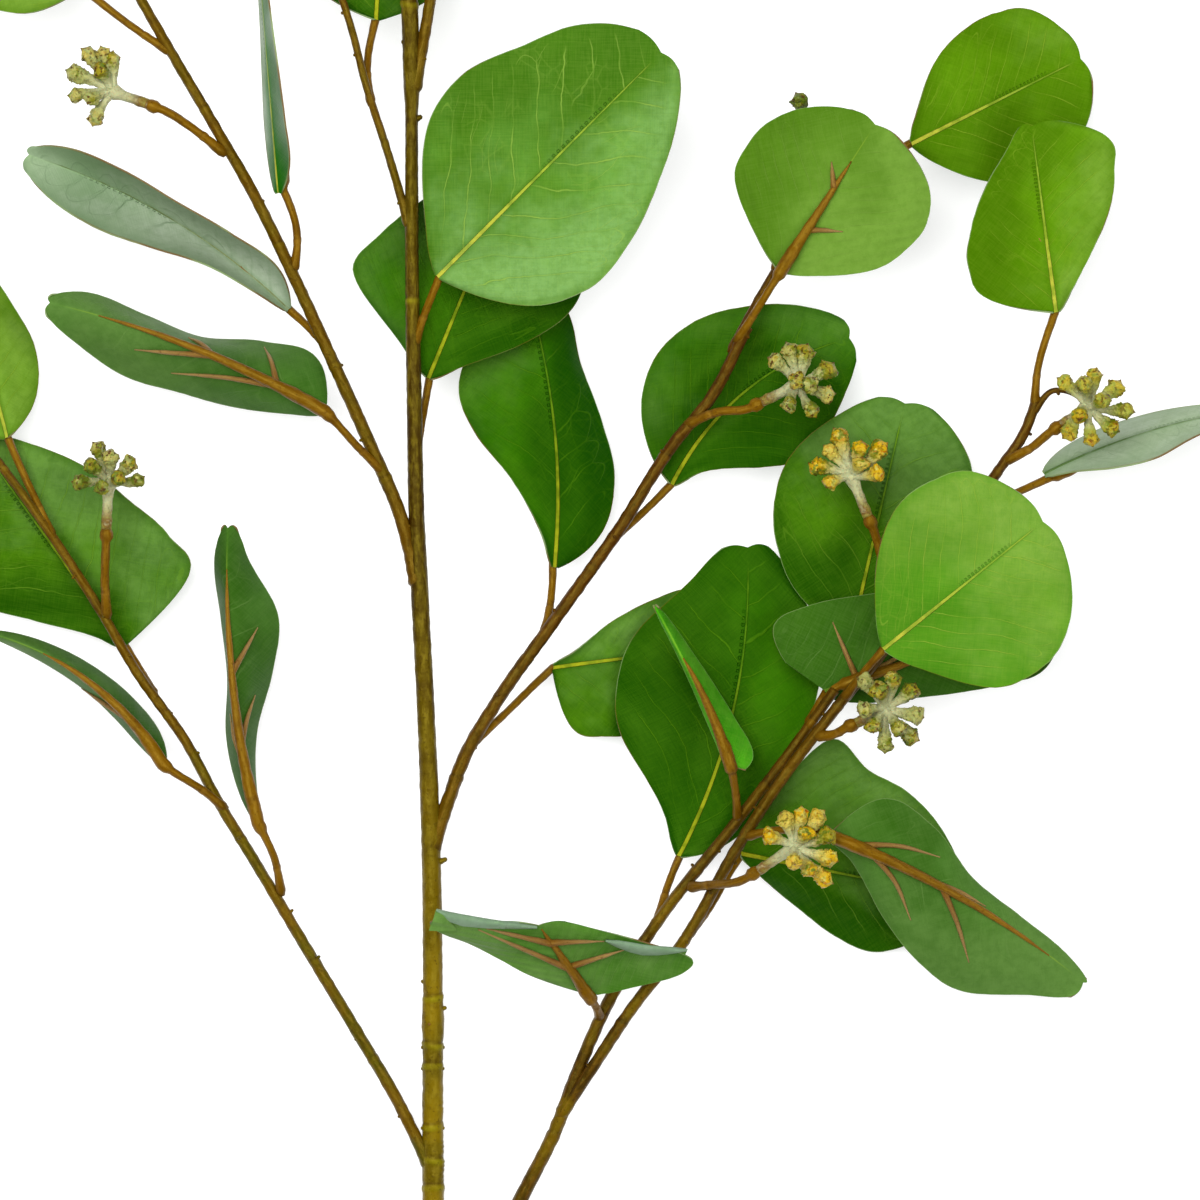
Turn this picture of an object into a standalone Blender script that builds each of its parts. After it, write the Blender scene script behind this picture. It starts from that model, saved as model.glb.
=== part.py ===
"""A spray of round eucalyptus leaves and gum nut clusters, lying on a surface.

Run it with: blender --background --python part.py

The frame is in metres with +Z up. The origin is on the surface, under the middle of the
heel of the main stem. +Y runs along the stem to its tip, and +X is to the right seen from above.
All the tables below are in millimetres and degrees.
"""

import math
from typing import NamedTuple

import bpy
from mathutils import Vector

MM = 0.001

# The blades: thickness, the gap to the ribs that carry them, and the grid of each face.
BLADE_THICK = 0.7
SEAT_GAP = 0.3
ROWS = (0.0, 0.05, 0.16, 0.32, 0.52, 0.72, 0.9, 1.0)
COLUMNS = (-1.0, -0.5, 0.0, 0.5, 1.0)
WIDTHS_AT = (0.1, 0.3, 0.5, 0.7, 0.9)
TIP_SHARE = 0.45
NOTCH_DEPTH = 0.8
NOTCH_FROM = 0.85
WAVE_COUNT = 2.5

# The moulded ribs on the back of each blade: a socket, a main rib and side ribs.
STALK_RADIUS = 1.35
SOCKET_RADIUS = 1.95
SOCKET_START = -0.05
SOCKET_END = 0.13
RIB_ROWS = ((0.16, 1.4), (0.32, 1.05), (0.52, 0.5))
SIDE_RIBS = ((0.15, 0.44, 0.50), (0.17, 0.40, -0.52), (0.34, 0.66, 0.42))
SIDE_RIB_RADII = (0.85, 0.6, 0.35)
SIDE_RIB_SINK = 0.6
SOCKET_STEP = 0.02
MAIN_SIDES = 8
STALK_SIDES = 5
SIDE_RIB_SIDES = 4

# The heel lies on a small flat that is cut level with the surface.
HEEL_LENGTH = 12.0
HEEL_RADIUS = 3.1
HEEL_AXIS_Z = 2.7
CUTTER_SIZE = 60.0

# The gum nuts: each is a narrow foot, a swelling cup and a beak.
NUT_PROFILE = ((0.0, 0.75), (0.5, 1.05), (0.8, 2.25), (1.0, 0.55))
NUT_BEYOND = 2.6
NUT_REACH = 8.6
NUT_SIDES = 5
LEAST_DEPTH = 1.0

# Each cluster: its brown stalk and collar, then the cream peduncle and its hub.
NUT_STALK_RADIUS = 1.25
COLLAR_RADII = (1.9, 1.7)
COLLAR_STARTS = (3.2, 2.4)
PEDUNCLE_RADII = (1.5, 1.3)
PEDUNCLE_NECK = 0.6
HUB_RADII = (1.7, 1.0)
HUB_CAP = 1.2


class Leaf(NamedTuple):
    """One blade. Left and right are as seen from above, looking from its base to its tip."""

    name: str
    base: tuple  # where the rib starts
    tip: tuple  # where the rib ends
    left: tuple  # widths of the left half as seen from above, at WIDTHS_AT
    right: tuple  # widths of the right half
    rise: tuple  # how far the left and right edges rise above the rib
    stalk: tuple  # from the branch to the socket
    bow: float = 0.0  # how far the rib bends to the left
    arch: float = 0.0  # how far the rib bends up
    sweep: tuple = (0.0, 0.0)  # how far the left and right edges lean to the tip
    wave: float = 0.8  # depth of the waves in its edge
    foot: tuple = (1.0, 1.0)  # widths of the left and right half at the base
    shows: str = "top"  # the face that looks up
    ribs: int = -1  # the half that has two side ribs, -1 the left and 1 the right


class Rod(NamedTuple):
    """A stretch of stem: its places, and its radius at both ends."""

    places: tuple
    radii: tuple
    sides: int = 6


class Cluster(NamedTuple):
    """A head of gum nuts: the foot of its stalk's collar, its hub and its nuts."""

    name: str
    stalk: tuple  # from the branch to the collar
    hub: tuple
    nuts: tuple  # where the nuts point, from the hub and seen from above


MAIN_STEM = (
    ((0, -HEEL_LENGTH / 2, HEEL_AXIS_Z), HEEL_RADIUS),
    ((0, HEEL_LENGTH / 2, HEEL_AXIS_Z), HEEL_RADIUS),
    ((0, 45, 5.3), 3.1),
    ((0, 80, 8.1), 3.1),
    ((0, 82, 8.3), 3.4),
    ((0, 84, 8.5), 3.0),
    ((-0.1, 98, 9.6), 3.0),
    ((-0.1, 100, 9.7), 3.3),
    ((-0.1, 102, 9.9), 2.9),
    ((0, 134, 12.5), 2.8),
    ((-0.6, 182, 16.3), 2.7),
    ((-2, 218, 19.2), 2.5),
    ((-3.6, 250, 21.8), 2.5),
    ((-4.4, 270, 23.3), 2.25),
    ((-5, 302, 25.9), 2.15),
    ((-5.6, 343, 29.2), 1.9),
    ((-5.6, 381, 32.2), 1.8),
    ((-5.6, 393, 33.2), 2.4),
    ((-6.2, 414, 34.9), 2.4),
    ((-7.5, 450, 37.8), 1.9),
    ((-8, 488, 40.5), 1.6),
    ((-8, 520, 42.5), 1.3),
)

BRANCHES = {
    "left_high": Rod(
        ((-4, 250, 21.8), (-9, 270.2, 23.4), (-17.2, 289.5, 25.2), (-28.6, 315, 28), (-38.7, 337.1, 30),
         (-49.6, 359.5, 32), (-61, 379.4, 33.6), (-74.5, 402.4, 35.2), (-86, 423, 36.4), (-97, 446, 37)),
        (2.0, 1.3),
    ),
    "left_top": Rod(
        ((-6.2, 350, 29.6), (-9.2, 361, 30.2), (-13.9, 376.5, 31), (-18, 389, 31.6),
         (-22.6, 406.6, 32.2), (-28.5, 424, 32.6), (-36, 442, 32.6)),
        (1.25, 0.95), 5,
    ),
    "left_low": Rod(
        ((-0.5, 86, 8.6), (-9.6, 104.7, 10.3), (-22, 126, 12), (-36.3, 149.8, 13.7), (-50.6, 173.9, 15),
         (-60.6, 190.4, 15.8), (-69, 206.1, 16.4), (-83, 226, 17), (-93, 243, 17.4),
         (-103, 258.7, 17.5), (-121, 283.9, 17.2), (-136, 303, 16.6)),
        (1.75, 1.2),
    ),
    "right_mid": Rod(
        ((-0.6, 175, 15.8), (4.5, 190.4, 16.8), (9, 202.4, 17.4), (18.2, 218.1, 18.4), (33.9, 240.2, 19.6),
         (52.2, 266, 21.2), (67.8, 290.4, 22.8), (77.6, 302.4, 24.2), (88.2, 322.8, 27.4)),
        (2.0, 1.6),
    ),
    "right_mid_twig": Rod(
        ((83.5, 315.5, 26), (90, 328, 22.5), (99, 343, 19), (110, 357, 17.5), (124, 369, 16)),
        (1.3, 1.1), 5,
    ),
    "right_low": Rod(
        ((0, 26, 3.9), (7.8, 42, 5.6), (16.2, 60.2, 7.5), (25, 78.4, 9.6), (34.5, 97.4, 12.2),
         (40.4, 113.1, 14), (50.4, 135.5, 16), (65.2, 159, 18), (84, 182.6, 20), (98.6, 201.6, 22),
         (112.8, 221.2, 23.8)),
        (2.3, 1.4),
    ),
    "right_low_front": Rod(
        ((35.5, 101, 12.9), (44.5, 114.5, 15.8), (55.4, 131, 18), (70.3, 150.4, 20), (85.4, 177, 22.6),
         (100.2, 199.4, 25), (113.4, 216.5, 26.6), (126, 231.8, 28), (141, 257, 28.4),
         (157.8, 281.7, 28.2), (165.8, 293.5, 28), (169, 302, 28)),
        (1.7, 1.45),
    ),
    "right_low_stub": Rod(((167.5, 298, 28), (174.2, 305, 29), (177.5, 304.6, 29.6), (180.5, 303, 29.8)), (1.0, 0.4), 4),
    "top_shoot": Rod(((-5, 388, 32.8), (-2, 404, 34.2), (1.5, 424, 36), (8, 452, 38.5), (16, 480, 40.5)), (1.8, 1.2), 5),
}

LEAVES = (
    Leaf("leaf_01", (-97.5, 417.5, 34), (-152, 450, 20), (11, 18, 21, 20, 14), (13, 20, 22, 20, 13), (-2, -3),
         ((-72.5, 399, 35), (-86, 408, 34))),
    Leaf("leaf_02", (-42.8, 360, 33), (-48.2, 426, 33), (2, 2.6, 2.2, 1.6, 1), (3.8, 3.8, 3.2, 2.4, 1.6), (-13, 13),
         ((-38.8, 338, 30), (-37, 346, 30.6), (-37.6, 353, 31.4)), wave=0.3),
    Leaf("leaf_03", (-40.3, 327.9, 22), (-112.8, 371, 27), (2.6, 5.4, 10, 12.4, 9.4), (6.2, 5.7, 4.6, 5.3, 5), (16, 17),
         ((-28, 315, 28), (-32.5, 321, 24)), bow=-5, wave=0.3),
    Leaf("leaf_04", (-30, 299, 30), (-107, 329.6, 26), (5, 10.5, 12.8, 13.8, 8.5), (11.5, 9.6, 3.8, 4.2, 5.4), (-15, -17),
         ((-13.5, 282, 24.4), (-19, 287.5, 28), (-25.5, 294.5, 32)), bow=-3, wave=0.3, shows="back"),
    Leaf("leaf_05", (-119.6, 292, 15.5), (-133, 342, 1.6), (10, 16, 17, 14, 9), (7, 12.6, 13.4, 10.8, 6.8), (-2, -5),
         ((-106.5, 263.8, 17.4), (-110.3, 272, 16.5), (-115.6, 283, 14))),
    Leaf("leaf_06", (-87, 233.5, 9.5), (-127.6, 290, 8), (5.2, 16.8, 27, 25, 15), (24.4, 28.4, 25.2, 21, 12), (-3, 2),
         ((-78, 219.5, 16.8), (-82.5, 227, 9)), sweep=(0, -3)),
    Leaf("leaf_07", (-75.3, 200.5, 20), (-124, 237, 19), (2.8, 3.5, 3.2, 2.8, 1.8), (3.4, 4, 3.6, 3, 2), (-13, -11),
         ((-58, 187.5, 15.7), (-64, 193, 19), (-70, 196.8, 22)), bow=-6, arch=1, wave=0.3, shows="back"),
    Leaf("leaf_08", (-48.7, 184.2, 22), (-57.4, 266.6, 21), (3.4, 4.4, 1.9, 2.4, 3.6), (1.2, 4.2, 10.7, 13.6, 5.6),
         (-15, -13), ((-42.5, 163.5, 14.6), (-43.4, 170, 18), (-45.6, 178.5, 23.4)), bow=3, wave=0.3, shows="back", ribs=1),
    Leaf("leaf_09", (-15.7, 408.8, 27), (-12, 470, 22), (15, 24, 26, 23, 15), (14, 22, 23, 20, 13), (0, -1),
         ((-16.8, 384.5, 31.4), (-18.6, 395, 29), (-17.6, 402, 25.5))),
    Leaf("leaf_10", (1.7, 336.6, 34), (64.1, 399, 37), (13.5, 30.8, 34.8, 28.8, 20), (19.5, 32, 31.4, 25.2, 15.5), (3, 3),
         ((-5, 317, 27.1), (-2.5, 326, 29.5), (0, 331, 31)), arch=2),
    Leaf("leaf_11", (-1.1, 308.6, 20.5), (23.4, 368, 20.5), (11.5, 30.8, 28, 21, 12), (7.5, 21, 29.5, 29, 18), (0, -1),
         ((-4.6, 285.5, 24.5), (-3.4, 294, 21), (-2, 302, 18))),
    Leaf("leaf_12", (34.2, 255.6, 15.5), (26, 335, 10), (4, 12.5, 22.5, 25, 15), (11, 16, 13.5, 9.8, 9), (2, -7),
         ((31, 236, 19.4), (32.8, 243, 17), (33.8, 249.5, 13.5)), bow=-4),
    Leaf("leaf_13", (97.4, 338.2, 31), (123.8, 379.1, 34), (11.5, 24.6, 27, 25, 16.8), (10, 21.8, 26.3, 26.8, 20),
         (-3, -2), ((85, 318.5, 26.7), (90, 326, 29.5), (94.5, 333.5, 33)), shows="back"),
    Leaf("leaf_14", (67.2, 278.9, 16), (117, 320, 16), (12.6, 23.4, 24.6, 19.4, 11.4), (5.5, 18.5, 25, 23, 15), (-2, -2),
         ((49.5, 262.8, 21), (55.5, 267.5, 17.5), (61, 272.8, 14)), bow=7),
    Leaf("leaf_15", (134.4, 374.4, 18.5), (182, 398.4, 16), (7.5, 17.5, 21.8, 22.3, 17.5), (10, 20, 22.5, 21.5, 16),
         (2, -2), ((122, 367.5, 16.2), (128, 371.2, 15.9))),
    Leaf("leaf_16", (174.4, 326.8, 32), (167.5, 378.7, 33), (17, 22.8, 20.6, 15.5, 7.5), (5, 12.3, 18.3, 21.3, 20),
         (2, 2), ((168.7, 300, 28), (168.8, 310, 28.2), (171.5, 319.5, 29.2))),
    Leaf("leaf_17", (171.6, 281.7, 20), (228, 299.5, 17.8), (3.5, 5, 5, 4.5, 3), (2.6, 6.4, 7.6, 5, 2.5), (-19, 16),
         ((150, 271, 28.3), (156.5, 273.3, 24), (164.5, 276.8, 20)), bow=2.5, wave=0.3),
    Leaf("leaf_18", (117.6, 236, 16.5), (132.5, 301.5, 21), (15, 26, 29.7, 27.5, 17), (13, 24, 27, 25, 17.5), (0, 1),
         ((105, 211, 22.9), (110.5, 221, 17.5), (115, 229, 14.2))),
    Leaf("leaf_19", (126, 232.7, 38), (170.2, 268.2, 43), (10.5, 22.8, 28.8, 28.3, 22), (12.3, 27.2, 31.4, 29.7, 20),
         (2, 1), ((115, 218.5, 26.8), (119, 224, 31), (122.5, 228.8, 34.6)), arch=2),
    Leaf("leaf_20", (110, 221, 21.2), (174, 243, 24), (21, 24, 22, 18, 11), (6, 9.5, 12.5, 14.5, 14), (0, -3),
         ((110, 217.6, 23.6),), sweep=(-17, 0), foot=(11, 2), shows="back"),
    Leaf("leaf_21", (69.2, 174.4, 12.8), (88.5, 261.2, 12), (9, 28.6, 33.6, 30.5, 16), (11, 16.5, 21.6, 21.6, 13), (-1, 0),
         ((63, 155.5, 17.6), (64.6, 162, 14), (67, 169, 10.6)), bow=-6),
    Leaf("leaf_22", (33.9, 227.4, 9), (92, 235, 5.6), (3.5, 10.5, 15, 17, 12), (16, 21.3, 21, 18, 11), (0, -1),
         ((11, 206, 17.7), (20, 214, 13.5), (28, 222, 8.5)), sweep=(0, -5)),
    Leaf("leaf_23", (84, 199, 30), (62.4, 244.4, 34), (1.6, 1.8, 1.6, 1.2, 0.8), (6.4, 4.8, 3.4, 2.4, 1.4), (-4, -13),
         ((85.5, 184.5, 20.2), (86.5, 189, 24), (86.5, 194, 27)), bow=-2, wave=0.3, sweep=(0, -5), shows="back"),
    Leaf("leaf_24", (86.8, 175, 9), (147, 163, 7.5), (18, 36.5, 30, 26, 16.5), (5, 11.8, 17.8, 20, 13), (0, -6),
         ((71, 151.5, 20.1), (77.5, 159, 16.5), (82, 167, 10))),
    Leaf("leaf_25", (111.4, 180.6, 29), (182.8, 138.9, 14), (14, 13.8, 6.2, 4.2, 3.3), (4.4, 15.4, 21.8, 22.4, 12),
         (-4, -9), ((87.5, 180, 22.9), (96, 182.4, 27), (105.5, 182, 31)), bow=3.5, arch=3, wave=0.3,
         shows="back", ribs=1),
    Leaf("leaf_26", (44.2, 136.1, 27), (30, 156, 45), (8.5, 14.6, 19, 24, 20.5), (9, 25, 30, 24, 14), (-6, 8),
         ((47, 129, 15.4), (46.5, 131, 20), (46, 133, 25)), wave=0.3, sweep=(31, -20.5), shows="back"),
    Leaf("leaf_27", (-100.5, 452, 37.5), (-133, 503, 32), (14, 23, 25, 22, 14), (14, 22, 24, 21, 14), (2, 2),
         ((-93, 437.5, 36.8), (-97.5, 446, 36.5))),
    Leaf("leaf_28", (-139.5, 307.5, 18.5), (-186, 334, 10), (12, 20, 22, 20, 13), (13, 21, 23, 21, 14), (2, -2),
         ((-131, 296.8, 16.8), (-136.5, 303.5, 16))),
    Leaf("leaf_29", (-39, 449.5, 34), (-66, 503, 26), (12, 22, 24, 22, 14), (13, 22, 24, 22, 14), (-2, 2),
         ((-33, 434.7, 32.6), (-37, 443.5, 31.7))),
    Leaf("leaf_30", (-8, 527, 44), (-22, 588, 36), (14, 24, 25, 22, 14), (13, 23, 25, 23, 15), (2, 2),
         ((-8, 513, 42.1), (-8, 521, 41.7))),
    Leaf("leaf_31", (18.5, 487.5, 42), (56, 534, 36), (13, 23, 26, 24, 16), (14, 24, 26, 23, 15), (2, -2),
         ((14, 474, 40), (17, 482, 39.7))),
    Leaf("leaf_32", (12, 437, 34.5), (66, 452, 24), (12, 20, 22, 20, 13), (13, 22, 24, 22, 14), (2, -2),
         ((3, 431, 36.6), (7, 434, 33.5))),
    Leaf("leaf_33", (-14, 467, 34), (-38, 520, 1.3), (11, 18, 20, 18, 12), (11, 19, 20, 18, 12), (1, 1),
         ((-7.7, 457, 38.2), (-12, 463, 34))),
)

CLUSTERS = (
    Cluster("nut_cluster_01", ((-57.5, 370.8, 33.1), (-66, 377.5, 35), (-79, 384.6, 36.5)), (-89, 388.2, 37),
            ((-6.4, 9.5), (-2.6, 10.2), (-0.2, 9), (-2.8, 4.5), (-11, 5), (-9.8, -1.4), (-5, -2.4), (-4.2, -7.6))),
    Cluster("nut_cluster_02", ((-91.5, 241, 17.3), (-91.8, 253, 21.5), (-91.2, 266, 25)), (-90.6, 279.2, 27),
            ((-2.9, 8.6), (0.6, 7), (5.6, 5.2), (7.4, 0.9), (-4.6, 4.7), (-7.4, -0.2), (-1.1, -1.2), (3.2, 1.6))),
    Cluster("nut_cluster_03", ((71, 295.5, 23.4), (80, 299, 27.5), (92, 301.6, 31)), (102.2, 306.6, 33),
            ((-5.9, 5.7), (-2.5, 9), (1.8, 8.8), (8.3, 4.5), (-0.6, 1.1), (3.4, -0.2), (7.6, -2.2), (4, -7.2),
             (-2.2, -5.8))),
    Cluster("nut_cluster_04", ((132.4, 242.5, 28.2), (126.5, 255, 31.5), (121.9, 269.5, 34)), (117, 281.1, 35),
            ((-3.5, 10.6), (-5.8, 6.4), (-9.2, 2.4), (-5, -2), (2.2, 7.8), (7.6, 7.4), (2, 3), (7, 0.8))),
    Cluster("nut_cluster_05", ((160, 285, 28), (168.3, 289.5, 31.5), (175.5, 295.2, 34)), (183.2, 300.4, 35.5),
            ((-6.4, 6.2), (-1.8, 6), (1.4, 8.4), (7.2, 5.4), (3.2, 1.6), (10.6, -0.9), (6.6, -5.8), (0.9, -8.4),
             (-5.4, -7.4), (-2, -2.4))),
    Cluster("nut_cluster_06", ((107, 208.2, 25.9), (112.8, 209, 29), (118.4, 212, 32)), (126.6, 216.2, 34),
            ((-5.9, 7), (-2, 4.6), (1.8, 7.8), (6.6, 5), (-6, -0.6), (7.9, -1.6), (-2.6, -4.4), (3.4, -4.8),
             (0.2, -9.8), (7.4, -7.6))),
    Cluster("nut_cluster_07", ((71.5, 165.8, 18.7), (78, 166.6, 25), (91, 170.8, 34)), (101.1, 177.5, 37),
            ((-2.7, 7.6), (1.6, 9), (6.2, 8.2), (2.8, 4), (9, 3.4), (9.8, -2.8), (-6.2, 2.4), (0, -3.4), (4.4, -6),
             (8.4, -8.4))),
    Cluster("nut_cluster_08", ((-8, 503, 41.7), (2, 512, 45), (10, 524, 47)), (16, 535.5, 48),
            ((-7, 5), (-2.8, 9.6), (3, 9.4), (8.6, 4.4), (0.6, 2), (9, -2.4), (4.6, -7), (-3, -7.4), (-8.6, -1.6))),
    Cluster("single_bud", ((96, 338, 19.5), (100.5, 355, 19), (103, 372, 18.5)), (104, 379.5, 18.4), ((-1.2, 6.2),)),
)

COLOURS = {
    "stem": (0.16, 0.10, 0.02),
    "leaf_top": (0.06, 0.17, 0.02),
    "leaf_back": (0.10, 0.22, 0.05),
    "nut": (0.42, 0.46, 0.14),
}


def lerp(a, b, share):
    return a + (b - a) * share


def rib_place(leaf, u):
    """Where the rib of a blade is, from its base at 0 to its tip at 1, and straight on outside."""
    base, tip = Vector(leaf.base), Vector(leaf.tip)
    along = tip - base
    left = Vector((-along.y, along.x, 0)).normalized()
    inside = min(max(u, 0.0), 1.0)
    bend = left * leaf.bow + Vector((0, 0, leaf.arch))
    place = base + along * inside + bend * 4 * inside * (1 - inside)
    slope = along + bend * 4 * (1 - 2 * inside)
    return place + slope * (u - inside), slope.normalized()


def half_width(leaf, side, u):
    """How far one half of the blade reaches, by a smooth curve through its widths."""
    given = (leaf.left, leaf.right)[side]
    places = (0.0, *WIDTHS_AT, 1.0)
    widths = (leaf.foot[side], *given, given[-1] * TIP_SHARE)
    steps = [(b - a) / (q - p) for a, b, p, q in zip(widths, widths[1:], places, places[1:])]
    slopes = [steps[0] * 1.5] + [(a + b) / 2 for a, b in zip(steps, steps[1:])] + [steps[-1] * 1.5]
    i = max(n for n in range(len(places) - 1) if places[n] <= u)
    span = places[i + 1] - places[i]
    t = (u - places[i]) / span
    start = widths[i] * (1 + 2 * t) * (1 - t) ** 2 + slopes[i] * span * t * (1 - t) ** 2
    return start + widths[i + 1] * t * t * (3 - 2 * t) + slopes[i + 1] * span * t * t * (t - 1)


def blade_place(leaf, u, v):
    """A place on the middle of a blade: u along the rib, v from the left edge at -1 to 1."""
    place, forward = rib_place(leaf, u)
    u = min(max(u, 0.0), 1.0)
    flat = Vector((forward.y, -forward.x, 0)).normalized()
    up = flat.cross(forward)
    side = 0 if v < 0 else 1
    f = abs(v)
    width = half_width(leaf, side, u)
    out = flat * math.copysign(width * f, v)
    lift = leaf.rise[side] * math.sin(math.pi * u) ** 0.7 * (0.5 * f + 0.5 * f * f)
    lift += leaf.wave * f * f * math.sin(math.tau * WAVE_COUNT * u + 2 * v + leaf.base[0])
    lobe = NOTCH_DEPTH * max(0.0, (u - NOTCH_FROM) / (1 - NOTCH_FROM)) ** 2 * math.sin(math.pi * f)
    lean = leaf.sweep[side] * f * width / max(max(leaf.left), max(leaf.right))
    return place + out + up * lift + forward * (lobe + lean)


def facet_place(leaf, u, v):
    """A place on the flat facets that the blade is built from."""
    if u <= 0:
        return blade_place(leaf, u, 0)
    row = max(i for i in range(len(ROWS) - 1) if ROWS[i] <= u)
    column = max(i for i in range(len(COLUMNS) - 1) if COLUMNS[i] <= v)
    across = (v - COLUMNS[column]) / (COLUMNS[column + 1] - COLUMNS[column])
    ends = [
        blade_place(leaf, ROWS[r], COLUMNS[column]).lerp(blade_place(leaf, ROWS[r], COLUMNS[column + 1]), across)
        for r in (row, row + 1)
    ]
    return ends[0].lerp(ends[1], (u - ROWS[row]) / (ROWS[row + 1] - ROWS[row]))


def blade_normal(leaf, u, v, step=0.04):
    """The way that the upper side of the blade faces. On the rib it is the mean of both halves."""
    u = min(max(u, step), 1 - step)
    across = (-0.5, 0.5) if v == 0 else (max(v - step, -1), min(v + step, 1))
    ahead = blade_place(leaf, u + step, v) - blade_place(leaf, u - step, v)
    aside = blade_place(leaf, u, across[1]) - blade_place(leaf, u, across[0])
    return aside.cross(ahead).normalized()


def under_blade(leaf, u, v, radius):
    """Where the middle of a rib of this radius runs, clear of the back of the blade."""
    back = 1 if leaf.shows == "back" else -1
    off = BLADE_THICK / 2 + SEAT_GAP + radius
    return facet_place(leaf, u, v) + blade_normal(leaf, u, v) * back * off


def mesh_object(name, points, faces, colour):
    """One object from points in millimetres, with a material of its own."""
    mesh = bpy.data.meshes.new(name)
    mesh.from_pydata([Vector(p) * MM for p in points], [], faces)
    mesh.validate()
    obj = bpy.data.objects.new(name, mesh)
    bpy.context.scene.collection.objects.link(obj)
    material = bpy.data.materials.new(name)
    material.use_nodes = True
    shader = material.node_tree.nodes["Principled BSDF"]
    shader.inputs["Base Color"].default_value = (*COLOURS[colour], 1)
    shader.inputs["Roughness"].default_value = 0.5
    shader.inputs["Metallic"].default_value = 0.0
    mesh.materials.append(material)
    mesh.polygons.foreach_set("use_smooth", [True] * len(mesh.polygons))
    return obj


def blade(leaf):
    """One blade as a closed solid, with the same triangles on both faces."""
    rows, columns = len(ROWS), len(COLUMNS)
    points = []
    for side in (1, -1):
        for u in ROWS:
            for v in COLUMNS:
                points.append(blade_place(leaf, u, v) + blade_normal(leaf, u, v) * side * BLADE_THICK / 2)
    count = rows * columns
    faces = []
    for r in range(rows - 1):
        for c in range(columns - 1):
            a = r * columns + c
            b, d = a + 1, a + columns
            e = d + 1
            faces += [(a, b, e), (a, e, d)]
            faces += [(count + a, count + e, count + b), (count + a, count + d, count + e)]
    rim = [c for c in range(columns)]
    rim += [r * columns + columns - 1 for r in range(1, rows)]
    rim += [(rows - 1) * columns + c for c in reversed(range(columns - 1))]
    rim += [r * columns for r in reversed(range(1, rows - 1))]
    for a, b in zip(rim, rim[1:] + rim[:1]):
        faces += [(a, count + a, count + b), (a, count + b, b)]
    return mesh_object(leaf.name, points, faces, "leaf_back" if leaf.shows == "back" else "leaf_top")


def tube(name, places, radii, sides, colour="stem"):
    """A closed tube of changing radius along a line of places."""
    places = [Vector(p) for p in places]
    ways = [(b - a).normalized() for a, b in zip(places, places[1:])]
    tangents = [ways[0]] + [(a + b).normalized() for a, b in zip(ways, ways[1:])] + [ways[-1]]
    across = tangents[0].orthogonal().normalized()
    points = []
    for place, tangent, radius in zip(places, tangents, radii):
        across = (across - tangent * across.dot(tangent)).normalized()
        beside = tangent.cross(across)
        for i in range(sides):
            angle = math.tau * i / sides
            points.append(place + (across * math.cos(angle) + beside * math.sin(angle)) * radius)
    faces = [tuple(reversed(range(sides)))]
    for ring in range(len(places) - 1):
        for i in range(sides):
            a, b = ring * sides + i, ring * sides + (i + 1) % sides
            faces.append((a, b, b + sides, a + sides))
    faces.append(tuple(range(len(points) - sides, len(points))))
    return mesh_object(name, points, faces, colour)


def branch(name, rod):
    """A side branch that tapers evenly, with its root sunk in what it grows from."""
    count = len(rod.places)
    radii = [lerp(*rod.radii, i / (count - 1)) for i in range(count)]
    return tube(name, rod.places, radii, rod.sides)


def leaf_carrier(leaf):
    """The stalk, socket and main rib of one blade as one tube, and its side ribs."""
    places = list(leaf.stalk)
    radii = [STALK_RADIUS] * len(places)
    for u, radius in ((SOCKET_START, STALK_RADIUS), (SOCKET_START + SOCKET_STEP, SOCKET_RADIUS),
                      (SOCKET_END, SOCKET_RADIUS)):
        places.append(under_blade(leaf, u, 0, SOCKET_RADIUS))
        radii.append(radius)
    for u, radius in RIB_ROWS:
        places.append(under_blade(leaf, u, 0, radius))
        radii.append(radius)
    parts = [tube(leaf.name + "_stalk", places, radii, STALK_SIDES)]
    for number, (start, end, v) in enumerate(SIDE_RIBS):
        rib = []
        for share, radius in zip((0.0, 0.5, 1.0), SIDE_RIB_RADII):
            sink = (SOCKET_RADIUS - SIDE_RIB_RADII[0]) * SIDE_RIB_SINK if share == 0 else 0
            aside = v * share * leaf.ribs
            rib.append(under_blade(leaf, lerp(start, end, share), aside, radius + sink))
        parts.append(tube(f"{leaf.name}_side_rib_{number}", rib, SIDE_RIB_RADII, SIDE_RIB_SIDES))
    return parts


def nut_stalk(cluster):
    """The brown stalk of a cluster, ending in its collar."""
    foot = Vector(cluster.stalk[-1])
    way = (Vector(cluster.hub) - foot).normalized()
    places = list(cluster.stalk[:-1]) + [foot - way * start for start in COLLAR_STARTS] + [foot]
    radii = [NUT_STALK_RADIUS] * len(cluster.stalk) + list(COLLAR_RADII)
    return tube(cluster.name + "_stalk", places, radii, STALK_SIDES)


def fuse(name, parts):
    """Joins closed meshes that overlap into one solid, and removes the meshes."""
    group = bpy.data.collections.new(name + "_parts")
    bpy.context.scene.collection.children.link(group)
    base = parts[0]
    for part in parts[1:]:
        bpy.context.scene.collection.objects.unlink(part)
        group.objects.link(part)
    join = base.modifiers.new("join", "BOOLEAN")
    join.operation = "UNION"
    join.operand_type = "COLLECTION"
    join.collection = group
    join.solver = "EXACT"
    apply_modifiers(base)
    for part in parts[1:]:
        bpy.data.objects.remove(part)
    bpy.data.collections.remove(group)
    base.name = name
    base.data.name = name
    return base


def apply_modifiers(obj):
    graph = bpy.context.evaluated_depsgraph_get()
    mesh = bpy.data.meshes.new_from_object(obj.evaluated_get(graph))
    obj.modifiers.clear()
    obj.data = mesh


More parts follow.
